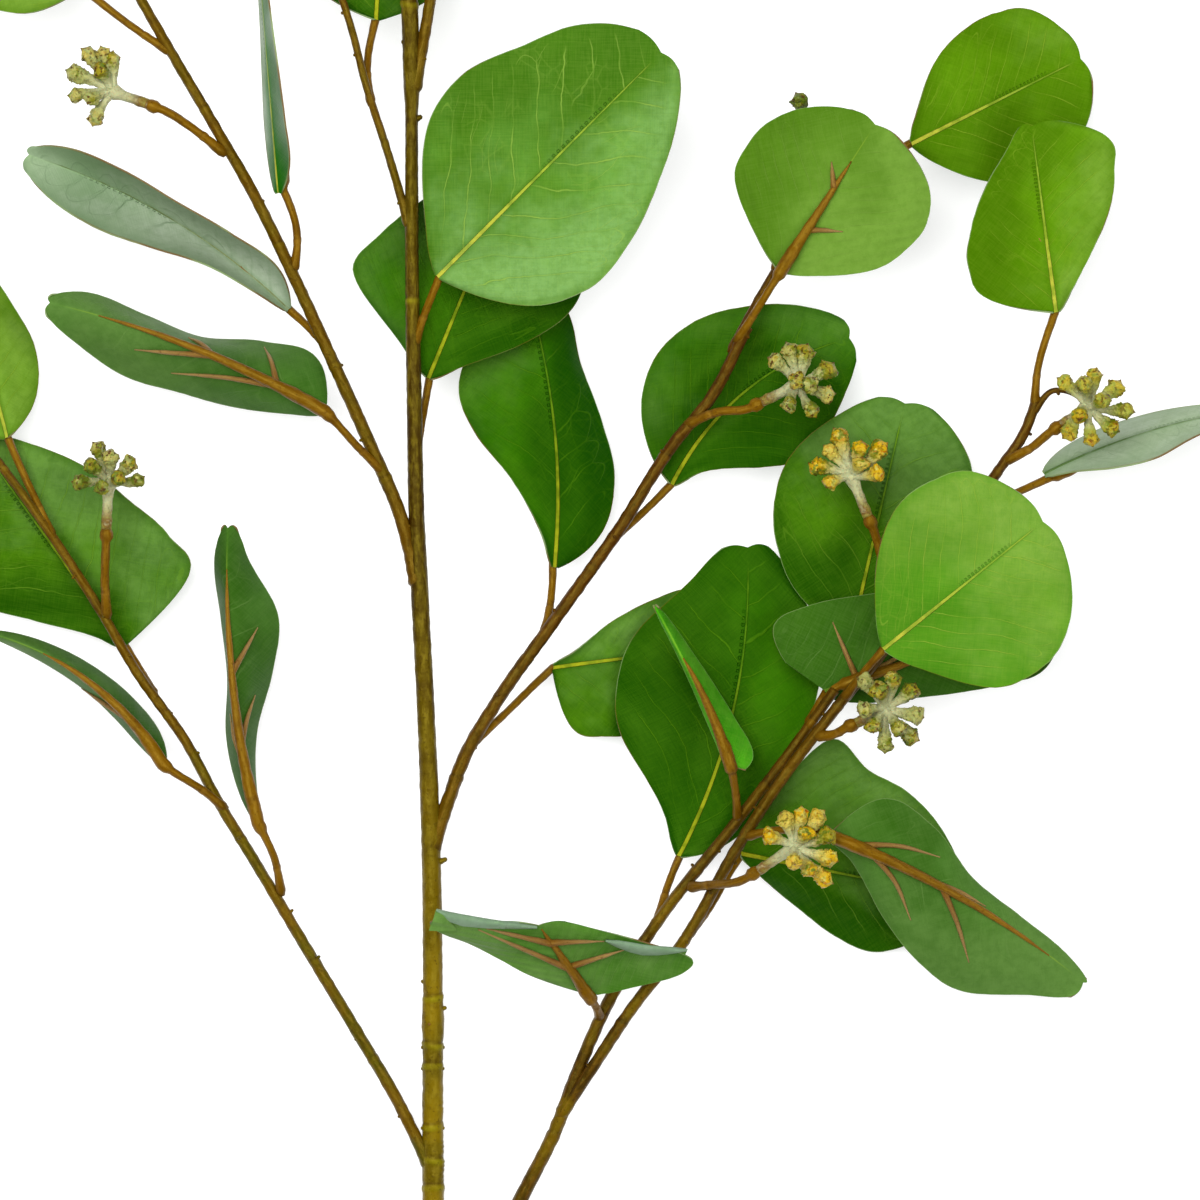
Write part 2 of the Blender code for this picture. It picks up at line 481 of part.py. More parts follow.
def cut_heel_flat(stem):
    """Cuts the underside of the heel level with the surface, so that it lies on a flat."""
    size = CUTTER_SIZE / 2
    corners = [(x, y, z) for x in (-size, size) for y in (-size, size) for z in (-size, 0)]
    sides = [(0, 1, 3, 2), (4, 6, 7, 5), (0, 4, 5, 1), (2, 3, 7, 6), (0, 2, 6, 4), (1, 5, 7, 3)]
    cutter = mesh_object("heel_cutter", corners, sides, "stem")
    cut = stem.modifiers.new("flat", "BOOLEAN")
    cut.operation = "DIFFERENCE"
    cut.object = cutter
    cut.solver = "EXACT"
    apply_modifiers(stem)
    bpy.data.objects.remove(cutter)


def build_stem():
    places, radii = zip(*MAIN_STEM)
    parts = [tube("main_stem", places, radii, MAIN_SIDES)]
    parts += [branch(name, rod) for name, rod in BRANCHES.items()]
    for leaf in LEAVES:
        parts += leaf_carrier(leaf)
    parts += [nut_stalk(cluster) for cluster in CLUSTERS]
    stem = fuse("stem", parts)
    cut_heel_flat(stem)
    return stem


def nut(cluster, number, across):
    """One gum nut from the hub outwards, swelling to a cup and closing to a beak."""
    hub = Vector(cluster.hub)
    flat = Vector((*across, 0))
    depth = math.sqrt(max(NUT_REACH ** 2 - flat.length_squared, LEAST_DEPTH))
    tip = flat + Vector((0, 0, depth if number % 3 else depth / 2))
    end = tip.normalized() * (tip.length + NUT_BEYOND)
    places = [hub + end * share for share, _ in NUT_PROFILE]
    radii = [radius for _, radius in NUT_PROFILE]
    return tube(f"{cluster.name}_nut_{number}", places, radii, NUT_SIDES, "nut")


def build_cluster(cluster):
    """The cream peduncle and hub of a cluster with its gum nuts, fused in one."""
    foot, hub = Vector(cluster.stalk[-1]), Vector(cluster.hub)
    way = (hub - foot).normalized()
    places = [foot + way * SEAT_GAP, lerp(foot, hub, PEDUNCLE_NECK), hub, hub + way * HUB_CAP]
    parts = [tube(cluster.name + "_peduncle", places, PEDUNCLE_RADII + HUB_RADII, STALK_SIDES, "nut")]
    parts += [nut(cluster, number, across) for number, across in enumerate(cluster.nuts)]
    return fuse(cluster.name, parts)


def main():
    for obj in list(bpy.data.objects):
        bpy.data.objects.remove(obj)
    build_stem()
    for leaf in LEAVES:
        blade(leaf)
    for cluster in CLUSTERS:
        build_cluster(cluster)


main()
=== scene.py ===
"""The looks of a spray of round eucalyptus leaves and gum nut clusters, lying on a surface.

The tables below are in millimetres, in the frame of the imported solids: the origin is under the
middle of the heel of the main stem, +Y runs to its tip, +X is to the right seen from above.
"""

import bisect
import math
import random
from typing import NamedTuple

import bpy
import numpy as np
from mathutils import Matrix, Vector, noise


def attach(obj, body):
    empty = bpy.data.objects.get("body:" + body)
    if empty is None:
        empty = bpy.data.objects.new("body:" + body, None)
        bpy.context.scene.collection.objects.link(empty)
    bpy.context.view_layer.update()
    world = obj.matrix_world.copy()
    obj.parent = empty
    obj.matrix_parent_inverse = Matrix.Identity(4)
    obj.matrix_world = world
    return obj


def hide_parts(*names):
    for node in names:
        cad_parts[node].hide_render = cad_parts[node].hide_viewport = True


MM = 0.001

# The camera looks straight down from the middle of the photographed part of the spray.
CAMERA_PLACE = (0.047, 0.2464, 2.825)
CAMERA_LENS = 300.0
CAMERA_REACH = 20.0

# The blades: widths are given at these shares of the rib, and each face is a fine grid.
BLADE_THICK = 0.45
BLADE_LOWEST = 0.02
WIDTHS_AT = (0.1, 0.3, 0.5, 0.7, 0.9)
TIP_SHARE = 0.45
NOTCH_DEPTH = 0.8
NOTCH_FROM = 0.85
WAVE_COUNT = 2.5
RIPPLE = 1.3
FULL_WIDTH = 22.0
BLADE_ROWS = 56
BLADE_COLUMNS = 28
FRAY = 0.12

# The printed side veins leave the rib at this slope and bend on towards the tip.
VEIN_SLOPE = 0.9
VEIN_CURVE = 0.005
VEINS_A_SIDE = 8.5

# The moulded ribs on the back of each blade: a socket, a main rib and side ribs. A socket starts
# and ends at other shares of the rib where the back is turned up.
STALK_RADIUS = 1.08
SOCKET_RADIUS = 1.9
SOCKETS = ((0.02, 0.14), (-0.05, 0.12))
SOCKET_STEP = 0.03
RIB_ROWS = ((0.08, 1.6), (0.25, 1.4), (0.42, 1.2), (0.62, 0.95), (0.83, 0.6), (1.0, 0.2))
SIDE_RIBS = ((0.15, 0.44, 0.50), (0.17, 0.40, -0.52), (0.34, 0.66, 0.42))
SIDE_RIB_RADII = (1.0, 0.65, 0.18)
RIB_SUNK = 0.12

# Side branches and stalks: the step along them, how much thicker they are where they start, how
# far that reaches, and how far they are thin inside what carries them.
BRANCH_STEP = 0.7
BRANCH_FLARE = 0.6
STALK_FLARE = 0.9
FLARE_REACH = 2.5
THIN_REACH = 1.2
KNUCKLE_GAP = 14.0

# The relief of each kind of stem: the height and the width of its rings, and how lumpy it is.
MAIN_RELIEF = (0.09, 0.85, 0.06)
BRANCH_RELIEF = (0.07, 0.7, 0.1)
STALK_RELIEF = (0.08, 0.6, 0.09)
SIDE_RIB_RELIEF = (0, 1, 0.15)
NUT_STALK_RELIEF = (0.12, 0.6, 0.14)
PEDUNCLE_RELIEF = (0.1, 0.8, 0.22)
GROOVE_DEPTH = 0.035
TEETH_DEPTH = 0.14

# The raised rings of the main stem by their distance from its heel, the ones with a knuckle on
# each side, its swelling, the stretches with fine teeth, and its single knuckles.
MAIN_STEP = 0.6
MAIN_RINGS = (24, 40, 57, 74, 87, 95, 104.5, 121.5, 127.5, 141, 337, 420, 508)
KNUCKLE_RINGS = (74, 104.5, 121.5, 127.5)
SWELLING = (134, 5.5, 0.12)
MAIN_ROUGH = ((87, 101), (108, 115), (356, 368))
MAIN_NUBS = (
    ((2.7, 131.5, 12.4), (1, 0.3, 0.3), 1.2, 0.75),
    ((-2.6, 139, 12.9), (-1, 0.4, 0.2), 0.8, 0.6),
    ((2.2, 173, 16), (1, 0.4, 0.3), 2.0, 0.9),
    ((-7, 402, 34), (-1, 0.2, 0.2), 1.4, 1.0),
    ((-3.8, 381, 32.3), (1, 0.4, 0.2), 1.2, 0.9),
)
SCAR = ((-0.9, 127.2, 14.7), (-0.2, 0.1, 1), 0.5, 0.55)
NUB_PROFILE = ((-0.4, 1.15), (0.1, 1.0), (0.5, 0.8), (0.8, 0.75), (1.0, 0.45))

# The folded corner and strips of leaf 26: what their upper face is made of, and rows of an outer and an
# inner place from above. A strip starts at the edge of the blade, turns over outside it and lies on it.
FOLDED = 26
FOLDS = (
    ("back_clear", ((-0.4, 154.8, 7, 154.6), (0, 156.2, 7, 155.4), (0.9, 158.2, 6, 156.6),
                    (1.7, 160.6, 4.6, 158.2))),
    ("folded", ((1.7, 160.7, 1.7, 160.4), (5, 159.9, 5, 157.5), (9.2, 159.1, 8.8, 156.1),
                (16.8, 157.7, 16, 155.4), (24.4, 156.5, 24, 155.2), (29.5, 155.6, 29.5, 155.2))),
    ("folded", ((48.6, 151.6, 48.6, 151.4), (52, 151.4, 51.6, 149.8), (55.6, 150.8, 55.6, 148.2),
                (59, 150.2, 59, 147.4), (63.2, 149.7, 63.2, 147.4), (67.4, 149.4, 67.2, 147.8),
                (71.4, 148.8, 71.2, 148.5))),
)
FOLD_STEPS = 12
FOLD_RISE = 0.8
FOLD_BULGE = 1.0
# Where the corners of a fold's section are, and its columns.
FOLD_STOPS = (0, 0.2, 0.3, 1)
FOLD_ACROSS = (0, 0.2, 0.3, 0.4, 0.5, 0.6, 0.7, 0.8, 0.9, 1)
# The folds' maps: a high share of painted light, so they show mostly painted sheen.
FOLD_MAPS = {"Rib": (0.5, 0.9), "Vein": (0.05, 0.05), "Tone": (0.8, 0.3)}

# The gum nuts: the share of the length and the radius, from the narrow foot to the beak.
NUT_PROFILE = (
    (0.0, 1.7), (0.12, 1.35), (0.28, 1.1), (0.42, 1.25), (0.56, 1.6), (0.68, 1.95), (0.78, 2.2),
    (0.84, 2.3), (0.875, 2.2), (0.905, 1.7), (0.93, 1.1), (0.955, 0.5), (0.98, 0.28), (1.0, 0.1),
)
NUT_RINGS = 36
NUT_BEYOND = 3.0
NUT_REACH = 8.6
NUT_SIDES = 24
LEAST_DEPTH = 1.0

# A cluster's stalk, the collar at its end by distance from the peduncle's foot and radius, and the
# peduncle with its hub.
NUT_STALK_RADIUS = 1.2
COLLAR = ((-3.4, 1.25), (-2.2, 1.9), (-0.8, 1.9), (0.3, 1.4))
PEDUNCLE_RADII = (1.45, 1.5, 1.4, 2.3, 1.4)
PEDUNCLE_STEP = 0.6

# How many sides each kind of tube has.
MAIN_SIDES = 24
BRANCH_SIDES = 18
STALK_SIDES = 14
SIDE_RIB_SIDES = 10
NUB_SIDES = 8


class Leaf(NamedTuple):
    """One blade. Left and right are as seen from above, looking from its base to its tip."""

    number: int
    tint: str
    base: tuple  # where the rib starts
    tip: tuple  # where the rib ends
    left: tuple  # widths of the left half as seen from above, at WIDTHS_AT
    right: tuple  # widths of the right half
    rise: tuple  # how far the left and right edges rise above the rib
    stalk: tuple  # from the branch to the socket
    bow: float = 0.0  # how far the rib bends to the left
    arch: float = 0.0  # how far the rib bends up
    sweep: tuple = (0.0, 0.0)  # how far the left and right edges lean to the tip
    wave: float = 0.8  # depth of the waves in its edge
    foot: tuple = (1.0, 1.0)  # widths of the left and right half at the base
    pale: tuple = (0.4, 0.1, 0.0)  # how pale it is, as painted sheen, or dark, as painted shade: in the middle, and more to the tip and to the right
    rib_end: float = 0.6  # where the moulded main rib ends
    spikes: tuple = None  # where each side rib starts and ends from above, if not the usual three
    plug: tuple = None  # where its socket starts and ends, if not at the usual places

    @property
    def name(self):
        return f"leaf_{self.number:02}"

    @property
    def turned(self):
        """Whether the back of the blade looks up."""
        return self.tint.startswith("back")


class Rod(NamedTuple):
    """A stretch of stem: its places, and its radius at both ends."""

    places: tuple
    radii: tuple


class Cluster(NamedTuple):
    """A head of gum nuts: its stalk up to the collar, its hub and its nuts."""

    name: str
    tint: str
    stalk: tuple  # from the branch to the collar
    hub: tuple
    nuts: tuple  # where the nuts point, from the hub and seen from above


MAIN_STEM = (
    ((0, -6, 2.7), 3.1), ((0, 6, 2.7), 3.1), ((0, 45, 5.3), 3.1), ((0, 83, 8.4), 3.05),
    ((-0.1, 101, 9.8), 2.95), ((0, 134, 12.5), 2.8), ((-0.6, 182, 16.3), 2.7), ((-2, 218, 19.2), 2.5),
    ((-3.6, 250, 21.8), 2.5), ((-4.4, 270, 23.3), 2.25), ((-5, 302, 25.9), 2.15), ((-5.6, 343, 29.2), 1.9),
    ((-5.6, 381, 32.2), 1.8), ((-5.6, 393, 33.2), 2.4), ((-6.2, 414, 34.9), 2.4), ((-7.5, 450, 37.8), 1.9),
    ((-8, 488, 40.5), 1.6), ((-8, 520, 42.5), 1.3),
)

BRANCHES = {
    "left_high": Rod(((-4, 250, 21.8), (-9, 270.2, 23.4), (-17.2, 289.5, 25.2), (-28.6, 315, 28),
         (-38.7, 337.1, 30), (-49.6, 359.5, 32), (-61, 379.4, 33.6), (-74.5, 402.4, 35.2),
         (-86, 423, 36.4), (-97, 446, 37)), (2.0, 1.3)),
    "left_top": Rod(((-6.2, 350, 29.6), (-9.2, 361, 30.2), (-13.9, 376.5, 31), (-18, 389, 31.6),
         (-22.6, 406.6, 32.2), (-28.5, 424, 32.6), (-36, 442, 32.6)), (1.25, 0.95)),
    "left_low": Rod(((-0.5, 86, 8.6), (-9.6, 104.7, 10.3), (-22, 126, 12), (-36.3, 149.8, 13.7),
         (-50.6, 173.9, 15), (-60.6, 190.4, 15.8), (-69, 206.1, 16.4), (-83, 226, 17), (-93, 243, 17.4),
         (-103, 258.7, 17.5), (-121, 283.9, 17.2), (-136, 303, 16.6)), (1.75, 1.2)),
    "right_mid": Rod(((-0.6, 175, 15.8), (4.5, 190.4, 16.8), (9, 202.4, 17.4), (18.2, 218.1, 18.4),
         (33.9, 240.2, 19.6), (52.2, 266, 21.2), (67.8, 290.4, 22.8), (77.6, 302.4, 24.2),
         (88.2, 322.8, 27.4)), (2.0, 1.6)),
    "right_mid_twig": Rod(((83.5, 315.5, 26), (90, 328, 22.5), (99, 343, 19), (110, 357, 17.5),
         (124, 369, 16)), (1.3, 1.1)),
    "right_low": Rod(((0, 26, 3.9), (7.8, 42, 5.6), (16.2, 60.2, 7.5), (25, 78.4, 9.6), (34.5, 97.4, 12.2),
         (40.4, 113.1, 14), (50.4, 135.5, 16), (65.2, 159, 18), (84, 182.6, 20), (98.6, 201.6, 22),
         (112.8, 221.2, 23.8)), (2.3, 1.4)),
    "right_low_front": Rod(((35.5, 101, 12.9), (44.5, 114.5, 15.8), (55.4, 131, 18), (70.3, 150.4, 20),
         (85.4, 177, 22.6), (100.2, 199.4, 25), (113.4, 216.5, 26.6), (126, 231.8, 28), (141, 257, 28.4),
         (157.8, 281.7, 28.2), (165.8, 293.5, 28), (169, 302, 28)), (1.7, 1.45)),
    "right_low_stub": Rod(((167.5, 298, 28), (174.2, 305, 29), (177.5, 304.6, 29.6), (180.5, 303, 29.8)),
        (1.0, 0.4)),
    "top_shoot": Rod(((-5, 388, 32.8), (-2, 404, 34.2), (1.5, 424, 36), (8, 452, 38.5), (16, 480, 40.5)),
        (1.8, 1.2)),
}

LEAVES = (
    Leaf(1, "fresh", (-97.5, 417.5, 34), (-152, 450, 20), (11, 18, 21, 20, 14), (13, 20, 22, 20, 13),
         (-2, -3), ((-72.5, 399, 35), (-86, 408, 34)), pale=(0.9, 0, 0)),
    Leaf(2, "bright", (-42.8, 360, 33), (-48.2, 426, 33), (2, 2.6, 2.2, 1.6, 1), (3.8, 3.8, 3.2, 2.4, 1.6),
         (-13, 13), ((-38.8, 338, 30), (-37, 346, 30.6), (-37.6, 353, 31.4)), wave=0.3,
         pale=(0.3, 0.6, -0.7)),
    Leaf(3, "frost", (-40.3, 327.9, 22), (-112.8, 371, 27), (2.6, 5.4, 10, 12.4, 9.4),
         (6.2, 5.7, 4.6, 5.3, 5), (16, 17), ((-28, 315, 28), (-32.5, 321, 24)), bow=-5, wave=0.3,
         pale=(0.5, -0.4, 0)),
    Leaf(4, "back", (-30, 299, 30), (-107, 329.6, 26), (5, 10.5, 12.8, 13.8, 8.5),
         (11.5, 9.6, 3.8, 4.2, 5.4), (-15, -17), ((-13.5, 282, 24.4), (-19, 287.5, 28), (-25.5, 294.5, 32)),
         bow=-3, wave=0.3, pale=(0.5, 0.3, 0), rib_end=0.83,
         spikes=((-43.1, 306.6, -47.3, 317.2), (-43.7, 305.2, -73.1, 310.2), (-61.6, 314.7, -83.4, 316.7),
          (-61, 315, -68.6, 319.8))),
    Leaf(5, "fresh", (-119.6, 292, 15.5), (-133, 342, 1.6), (10, 16, 17, 14, 9), (7, 12.6, 13.4, 10.8, 6.8),
         (-2, -5), ((-106.5, 263.8, 17.4), (-110.3, 272, 16.5), (-115.6, 283, 14)), pale=(0.6, 0, 0)),
    Leaf(6, "green", (-87, 233.5, 9.5), (-127.6, 290, 8), (5.2, 16.8, 27, 25, 15),
         (24.4, 28.4, 25.2, 21, 12), (-3, 2), ((-78, 219.5, 16.8), (-82.5, 227, 9)), sweep=(0, -3),
         pale=(0.4, 0.25, 0.4)),
    Leaf(7, "back", (-75.3, 200.5, 20), (-124, 237, 19), (2.8, 3.5, 3.2, 2.8, 1.8), (3.4, 4, 3.6, 3, 2),
         (-13, -11), ((-58, 187.5, 15.7), (-64, 193, 19), (-70, 196.8, 22)), bow=-6, arch=1, wave=0.3,
         rib_end=0.75, spikes=((-85, 212, -99, 221.5),)),
    Leaf(8, "back", (-48.7, 184.2, 22), (-57.4, 266.6, 21), (3.4, 4.4, 1.9, 2.4, 3.6),
         (1.2, 4.2, 10.7, 13.6, 5.6), (-15, -13),
         ((-42.5, 163.5, 14.6), (-43.4, 170, 18), (-45.6, 178.5, 23.4)), bow=3, wave=0.3,
         pale=(0.15, 0.2, 0), rib_end=0.86,
         spikes=((-53.8, 226, -49.3, 238.8), (-52.1, 206.1, -50.1, 219.8), (-51.8, 200.2, -56.6, 214.5))),
    Leaf(9, "green", (-15.7, 408.8, 27), (-12, 470, 22), (15, 24, 26, 23, 15), (14, 22, 23, 20, 13), (0, -1),
         ((-16.8, 384.5, 31.4), (-18.6, 395, 29), (-17.6, 402, 25.5))),
    Leaf(10, "mid", (1.7, 336.6, 34), (64.1, 399, 37), (13.5, 30.8, 34.8, 28.8, 20),
         (19.5, 32, 31.4, 25.2, 15.5), (3, 3), ((-5, 317, 27.1), (-2.5, 326, 29.5), (0, 331, 31)), arch=2,
         pale=(0.42, -0.15, 0.28)),
    Leaf(11, "deep", (-1.1, 308.6, 20.5), (23.4, 368, 20.5), (11.5, 30.8, 28, 21, 12),
         (7.5, 21, 29.5, 29, 18), (0, -1), ((-4.6, 285.5, 24.5), (-3.4, 294, 21), (-2, 302, 18)),
         pale=(0.2, 0.1, -0.5)),
    Leaf(12, "deep", (34.2, 255.6, 15.5), (26, 335, 10), (4, 12.5, 22.5, 25, 15), (11, 16, 13.5, 9.8, 9),
         (2, -7), ((31, 236, 19.4), (32.8, 243, 17), (33.8, 249.5, 13.5)), bow=-4, pale=(0.2, 0.1, -0.25)),
    Leaf(13, "back_light", (97.4, 338.2, 31), (123.8, 379.1, 34), (11.5, 24.6, 27, 25, 16.8),
         (10, 21.8, 26.3, 26.8, 20), (-3, -2), ((85, 318.5, 26.7), (90, 326, 29.5), (94.5, 333.5, 33)),
         pale=(0.5, 0, 0.4), rib_end=0.75,
         spikes=((112.3, 361.5, 111.7, 368.8), (105.8, 349.2, 114.8, 349.2))),
    Leaf(14, "deep", (67.2, 278.9, 16), (117, 320, 16), (12.6, 23.4, 24.6, 19.4, 11.4),
         (5.5, 18.5, 25, 23, 15), (-2, -2), ((49.5, 262.8, 21), (55.5, 267.5, 17.5), (61, 272.8, 14)), bow=7,
         pale=(0.3, 0.1, -0.2)),
    Leaf(15, "fresh", (134.4, 374.4, 18.5), (182, 398.4, 16), (7.5, 17.5, 21.8, 22.3, 17.5),
         (10, 20, 22.5, 21.5, 16), (2, -2), ((122, 367.5, 16.2), (128, 371.2, 15.9)), pale=(0.2, 0.1, -0.1)),
    Leaf(16, "fresh", (174.4, 326.8, 32), (167.5, 378.7, 33), (17, 22.8, 20.6, 15.5, 7.5),
         (5, 12.3, 18.3, 21.3, 20), (2, 2), ((168.7, 300, 28), (168.8, 310, 28.2), (171.5, 319.5, 29.2)),
         pale=(0.3, -0.1, 0.35)),
    Leaf(17, "silver", (171.6, 281.7, 20), (228, 299.5, 17.8), (3.5, 5, 5, 4.5, 3), (2.6, 6.4, 7.6, 5, 2.5),
         (-19, 16), ((150, 271, 28.3), (156.5, 273.3, 24), (164.5, 276.8, 20)), bow=2.5, wave=0.3,
         pale=(0.6, 0, 0)),
    Leaf(18, "green", (117.6, 236, 16.5), (132.5, 301.5, 21), (15, 26, 29.7, 27.5, 17),
         (13, 24, 27, 25, 17.5), (0, 1), ((105, 211, 22.9), (110.5, 221, 17.5), (115, 229, 14.2)),
         pale=(0.4, 0.6, 0.1)),
    Leaf(19, "lime", (126, 232.7, 38), (170.2, 268.2, 43), (10.5, 22.8, 28.8, 28.3, 22),
         (12.3, 27.2, 31.4, 29.7, 20), (2, 1), ((115, 218.5, 26.8), (119, 224, 31), (122.5, 228.8, 34.6)),
         arch=2, pale=(0.42, 0.2, -0.05)),
    Leaf(20, "back", (110, 221, 21.2), (174, 243, 24), (21, 24, 22, 18, 11), (6, 9.5, 12.5, 14.5, 14),
         (0, -3), ((104.8, 210, 23), (108.4, 215, 23.4)), sweep=(-17, 0), foot=(11, 2), pale=(0, 0.2, 0),
         rib_end=0.5, plug=(0.06, 0.17), spikes=((117.9, 225, 112.3, 240.2), (120, 225.5, 139.4, 235.2))),
    Leaf(21, "deep", (69.2, 174.4, 12.8), (88.5, 261.2, 12), (9, 28.6, 33.6, 30.5, 16),
         (11, 16.5, 21.6, 21.6, 13), (-1, 0), ((63, 155.5, 17.6), (64.6, 162, 14), (67, 169, 10.6)), bow=-6,
         pale=(0.05, -0.2, 0.15)),
    Leaf(22, "green", (33.9, 227.4, 9), (92, 235, 5.6), (3.5, 10.5, 15, 17, 12), (16, 21.3, 21, 18, 11),
         (0, -1), ((11, 206, 17.7), (20, 214, 13.5), (28, 222, 8.5)), sweep=(0, -5), pale=(0.4, 0, -0.1)),
    Leaf(23, "back_bright", (83, 200, 30), (62.4, 244.4, 34), (1.0, 1.1, 1.0, 0.8, 0.6),
         (7.4, 6.4, 4.8, 3.2, 1.8), (-4, -13), ((85.5, 184.5, 20.2), (85.6, 189, 24), (84.6, 194.5, 27)),
         bow=-1, foot=(1, 4), wave=0.3, sweep=(0, -5), pale=(0.4, 0, 0), rib_end=0.67, spikes=()),
    Leaf(24, "green", (86.8, 175, 9), (147, 163, 7.5), (18, 36.5, 30, 26, 16.5), (5, 11.8, 17.8, 20, 13),
         (0, -6), ((71, 151.5, 20.1), (77.5, 159, 16.5), (82, 167, 10)), pale=(0.4, 0.2, -0.4)),
    Leaf(25, "back", (111.4, 180.6, 29), (182.8, 138.9, 14), (14, 13.8, 6.2, 4.2, 3.3),
         (4.4, 15.4, 21.8, 22.4, 12), (-4, -9), ((87.5, 180, 22.9), (96, 182.4, 27), (105.5, 182, 31)),
         bow=3.5, arch=3, wave=0.3, pale=(0.5, 0.2, 0), rib_end=0.85,
         spikes=((138.9, 166, 155.1, 160.4), (140.8, 163.2, 150.6, 144.8), (118.2, 178.4, 142, 174.4),
          (122.4, 175.3, 134.1, 156.8))),
    Leaf(26, "back_clear", (44.2, 136.1, 27), (30, 156, 45), (8.5, 14.6, 19, 24, 20.5),
         (9, 22.5, 29, 24, 14), (-6, 8), ((47, 129, 15.4), (46.5, 131, 20), (46, 133, 25)), wave=0.3,
         sweep=(31, -20.5), pale=(0.5, 0, -0.1), rib_end=0.95,
         spikes=((38.9, 143.9, 13.2, 155.1), (41.7, 144.8, 53.8, 149), (35.3, 151.5, 15.4, 155.4),
          (36.7, 151.8, 48.2, 151.5))),
    Leaf(27, "mid", (-100.5, 452, 37.5), (-133, 503, 32), (14, 23, 25, 22, 14), (14, 22, 24, 21, 14), (2, 2),
         ((-93, 437.5, 36.8), (-97.5, 446, 36.5))),
    Leaf(28, "fresh", (-139.5, 307.5, 18.5), (-186, 334, 10), (12, 20, 22, 20, 13), (13, 21, 23, 21, 14),
         (2, -2), ((-131, 296.8, 16.8), (-136.5, 303.5, 16))),
    Leaf(29, "deep", (-39, 449.5, 34), (-66, 503, 26), (12, 22, 24, 22, 14), (13, 22, 24, 22, 14), (-2, 2),
         ((-33, 434.7, 32.6), (-37, 443.5, 31.7))),
    Leaf(30, "mid", (-8, 527, 44), (-22, 588, 36), (14, 24, 25, 22, 14), (13, 23, 25, 23, 15), (2, 2),
         ((-8, 513, 42.1), (-8, 521, 41.7))),
    Leaf(31, "fresh", (18.5, 487.5, 42), (56, 534, 36), (13, 23, 26, 24, 16), (14, 24, 26, 23, 15), (2, -2),
         ((14, 474, 40), (17, 482, 39.7))),
    Leaf(32, "deep", (12, 437, 34.5), (66, 452, 24), (12, 20, 22, 20, 13), (13, 22, 24, 22, 14), (2, -2),
         ((3, 431, 36.6), (7, 434, 33.5))),
    Leaf(33, "lime", (-14, 467, 34), (-38, 520, 1.3), (11, 18, 20, 18, 12), (11, 19, 20, 18, 12), (1, 1),
         ((-7.7, 457, 38.2), (-12, 463, 34))),
)

CLUSTERS = (
    Cluster("nut_cluster_01", "pale", ((-57.5, 370.8, 33.1), (-66, 377.5, 35), (-79, 384.6, 36.5)),
            (-89, 388.2, 37),
            ((-6.4, 9.5), (-2.6, 10.2), (-0.2, 9), (-2.8, 4.5), (-11, 5), (-9.8, -1.4), (-5, -2.4),
             (-4.2, -7.6))),
    Cluster("nut_cluster_02", "pale", ((-91.5, 241, 17.3), (-91.8, 253, 21.5), (-91.2, 266, 25)),
            (-90.6, 279.2, 27),
            ((-2.9, 8.6), (0.6, 7), (5.6, 5.2), (7.4, 0.9), (-4.6, 4.7), (-7.4, -0.2), (-1.1, -1.2),
             (3.2, 1.6))),
    Cluster("nut_cluster_03", "pale", ((71, 295.5, 23.4), (80, 299, 27.5), (92, 301.6, 31)),
            (102.2, 306.6, 33),
            ((-5.9, 5.7), (-2.5, 9), (1.8, 8.8), (8.3, 4.5), (-0.6, 1.1), (3.4, -0.2), (7.6, -2.2),
             (4, -7.2), (-2.2, -5.8))),
    Cluster("nut_cluster_04", "golden", ((132.4, 242.5, 28.2), (126.5, 255, 31.5), (121.9, 269.5, 34)),
            (117, 281.1, 35),
            ((-3.5, 10.6), (-5.8, 6.4), (-9.2, 2.4), (-5, -2), (2.2, 7.8), (7.6, 7.4), (2, 3), (7, 0.8))),
    Cluster("nut_cluster_05", "green", ((160, 285, 28), (168.3, 289.5, 31.5), (175.5, 295.2, 34)),
            (183.2, 300.4, 35.5),
            ((-6.4, 6.2), (-1.8, 6), (1.4, 8.4), (7.2, 5.4), (3.2, 1.6), (10.6, -0.9), (6.6, -5.8),
             (0.9, -8.4), (-5.4, -7.4), (-2, -2.4))),
    Cluster("nut_cluster_06", "pale", ((107, 208.2, 25.9), (112.8, 209, 29), (118.4, 212, 32)),
            (126.6, 216.2, 34),
            ((-5.9, 7), (-2, 4.6), (1.8, 7.8), (6.6, 5), (-6, -0.6), (7.9, -1.6), (-2.6, -4.4),
             (3.4, -4.8), (0.2, -9.8), (7.4, -7.6))),
    Cluster("nut_cluster_07", "golden", ((71.5, 165.8, 18.7), (78, 166.6, 25), (91, 170.8, 34)),
            (101.1, 177.5, 37),
            ((-2.7, 7.6), (1.6, 9), (6.2, 8.2), (2.8, 4), (9, 3.4), (9.8, -2.8), (-6.2, 2.4), (0, -3.4),
             (4.4, -6), (8.4, -8.4))),
    Cluster("nut_cluster_08", "green", ((-8, 503, 41.7), (2, 512, 45), (10, 524, 47)), (16, 535.5, 48),
            ((-7, 5), (-2.8, 9.6), (3, 9.4), (8.6, 4.4), (0.6, 2), (9, -2.4), (4.6, -7), (-3, -7.4),
             (-8.6, -1.6))),
    Cluster("single_bud", "bud", ((96, 338, 19.5), (100.5, 355, 19), (103, 372, 18.5)), (104, 379.5, 18.4),
            ((-1.2, 6.2),)),
)

# The floor glows a little, as a light table does, so that the shadows on it stay faint.
FLOOR_SIZE = 3.0
FLOOR_TINTS = ((0.48, 0.48, 0.48, 1.0), (0.52, 0.52, 0.52, 1.0))
FLOOR_GLOW = 0.6
SKY_STRENGTH = 0.45
WHITE = (1.0, 1.0, 1.0, 1.0)

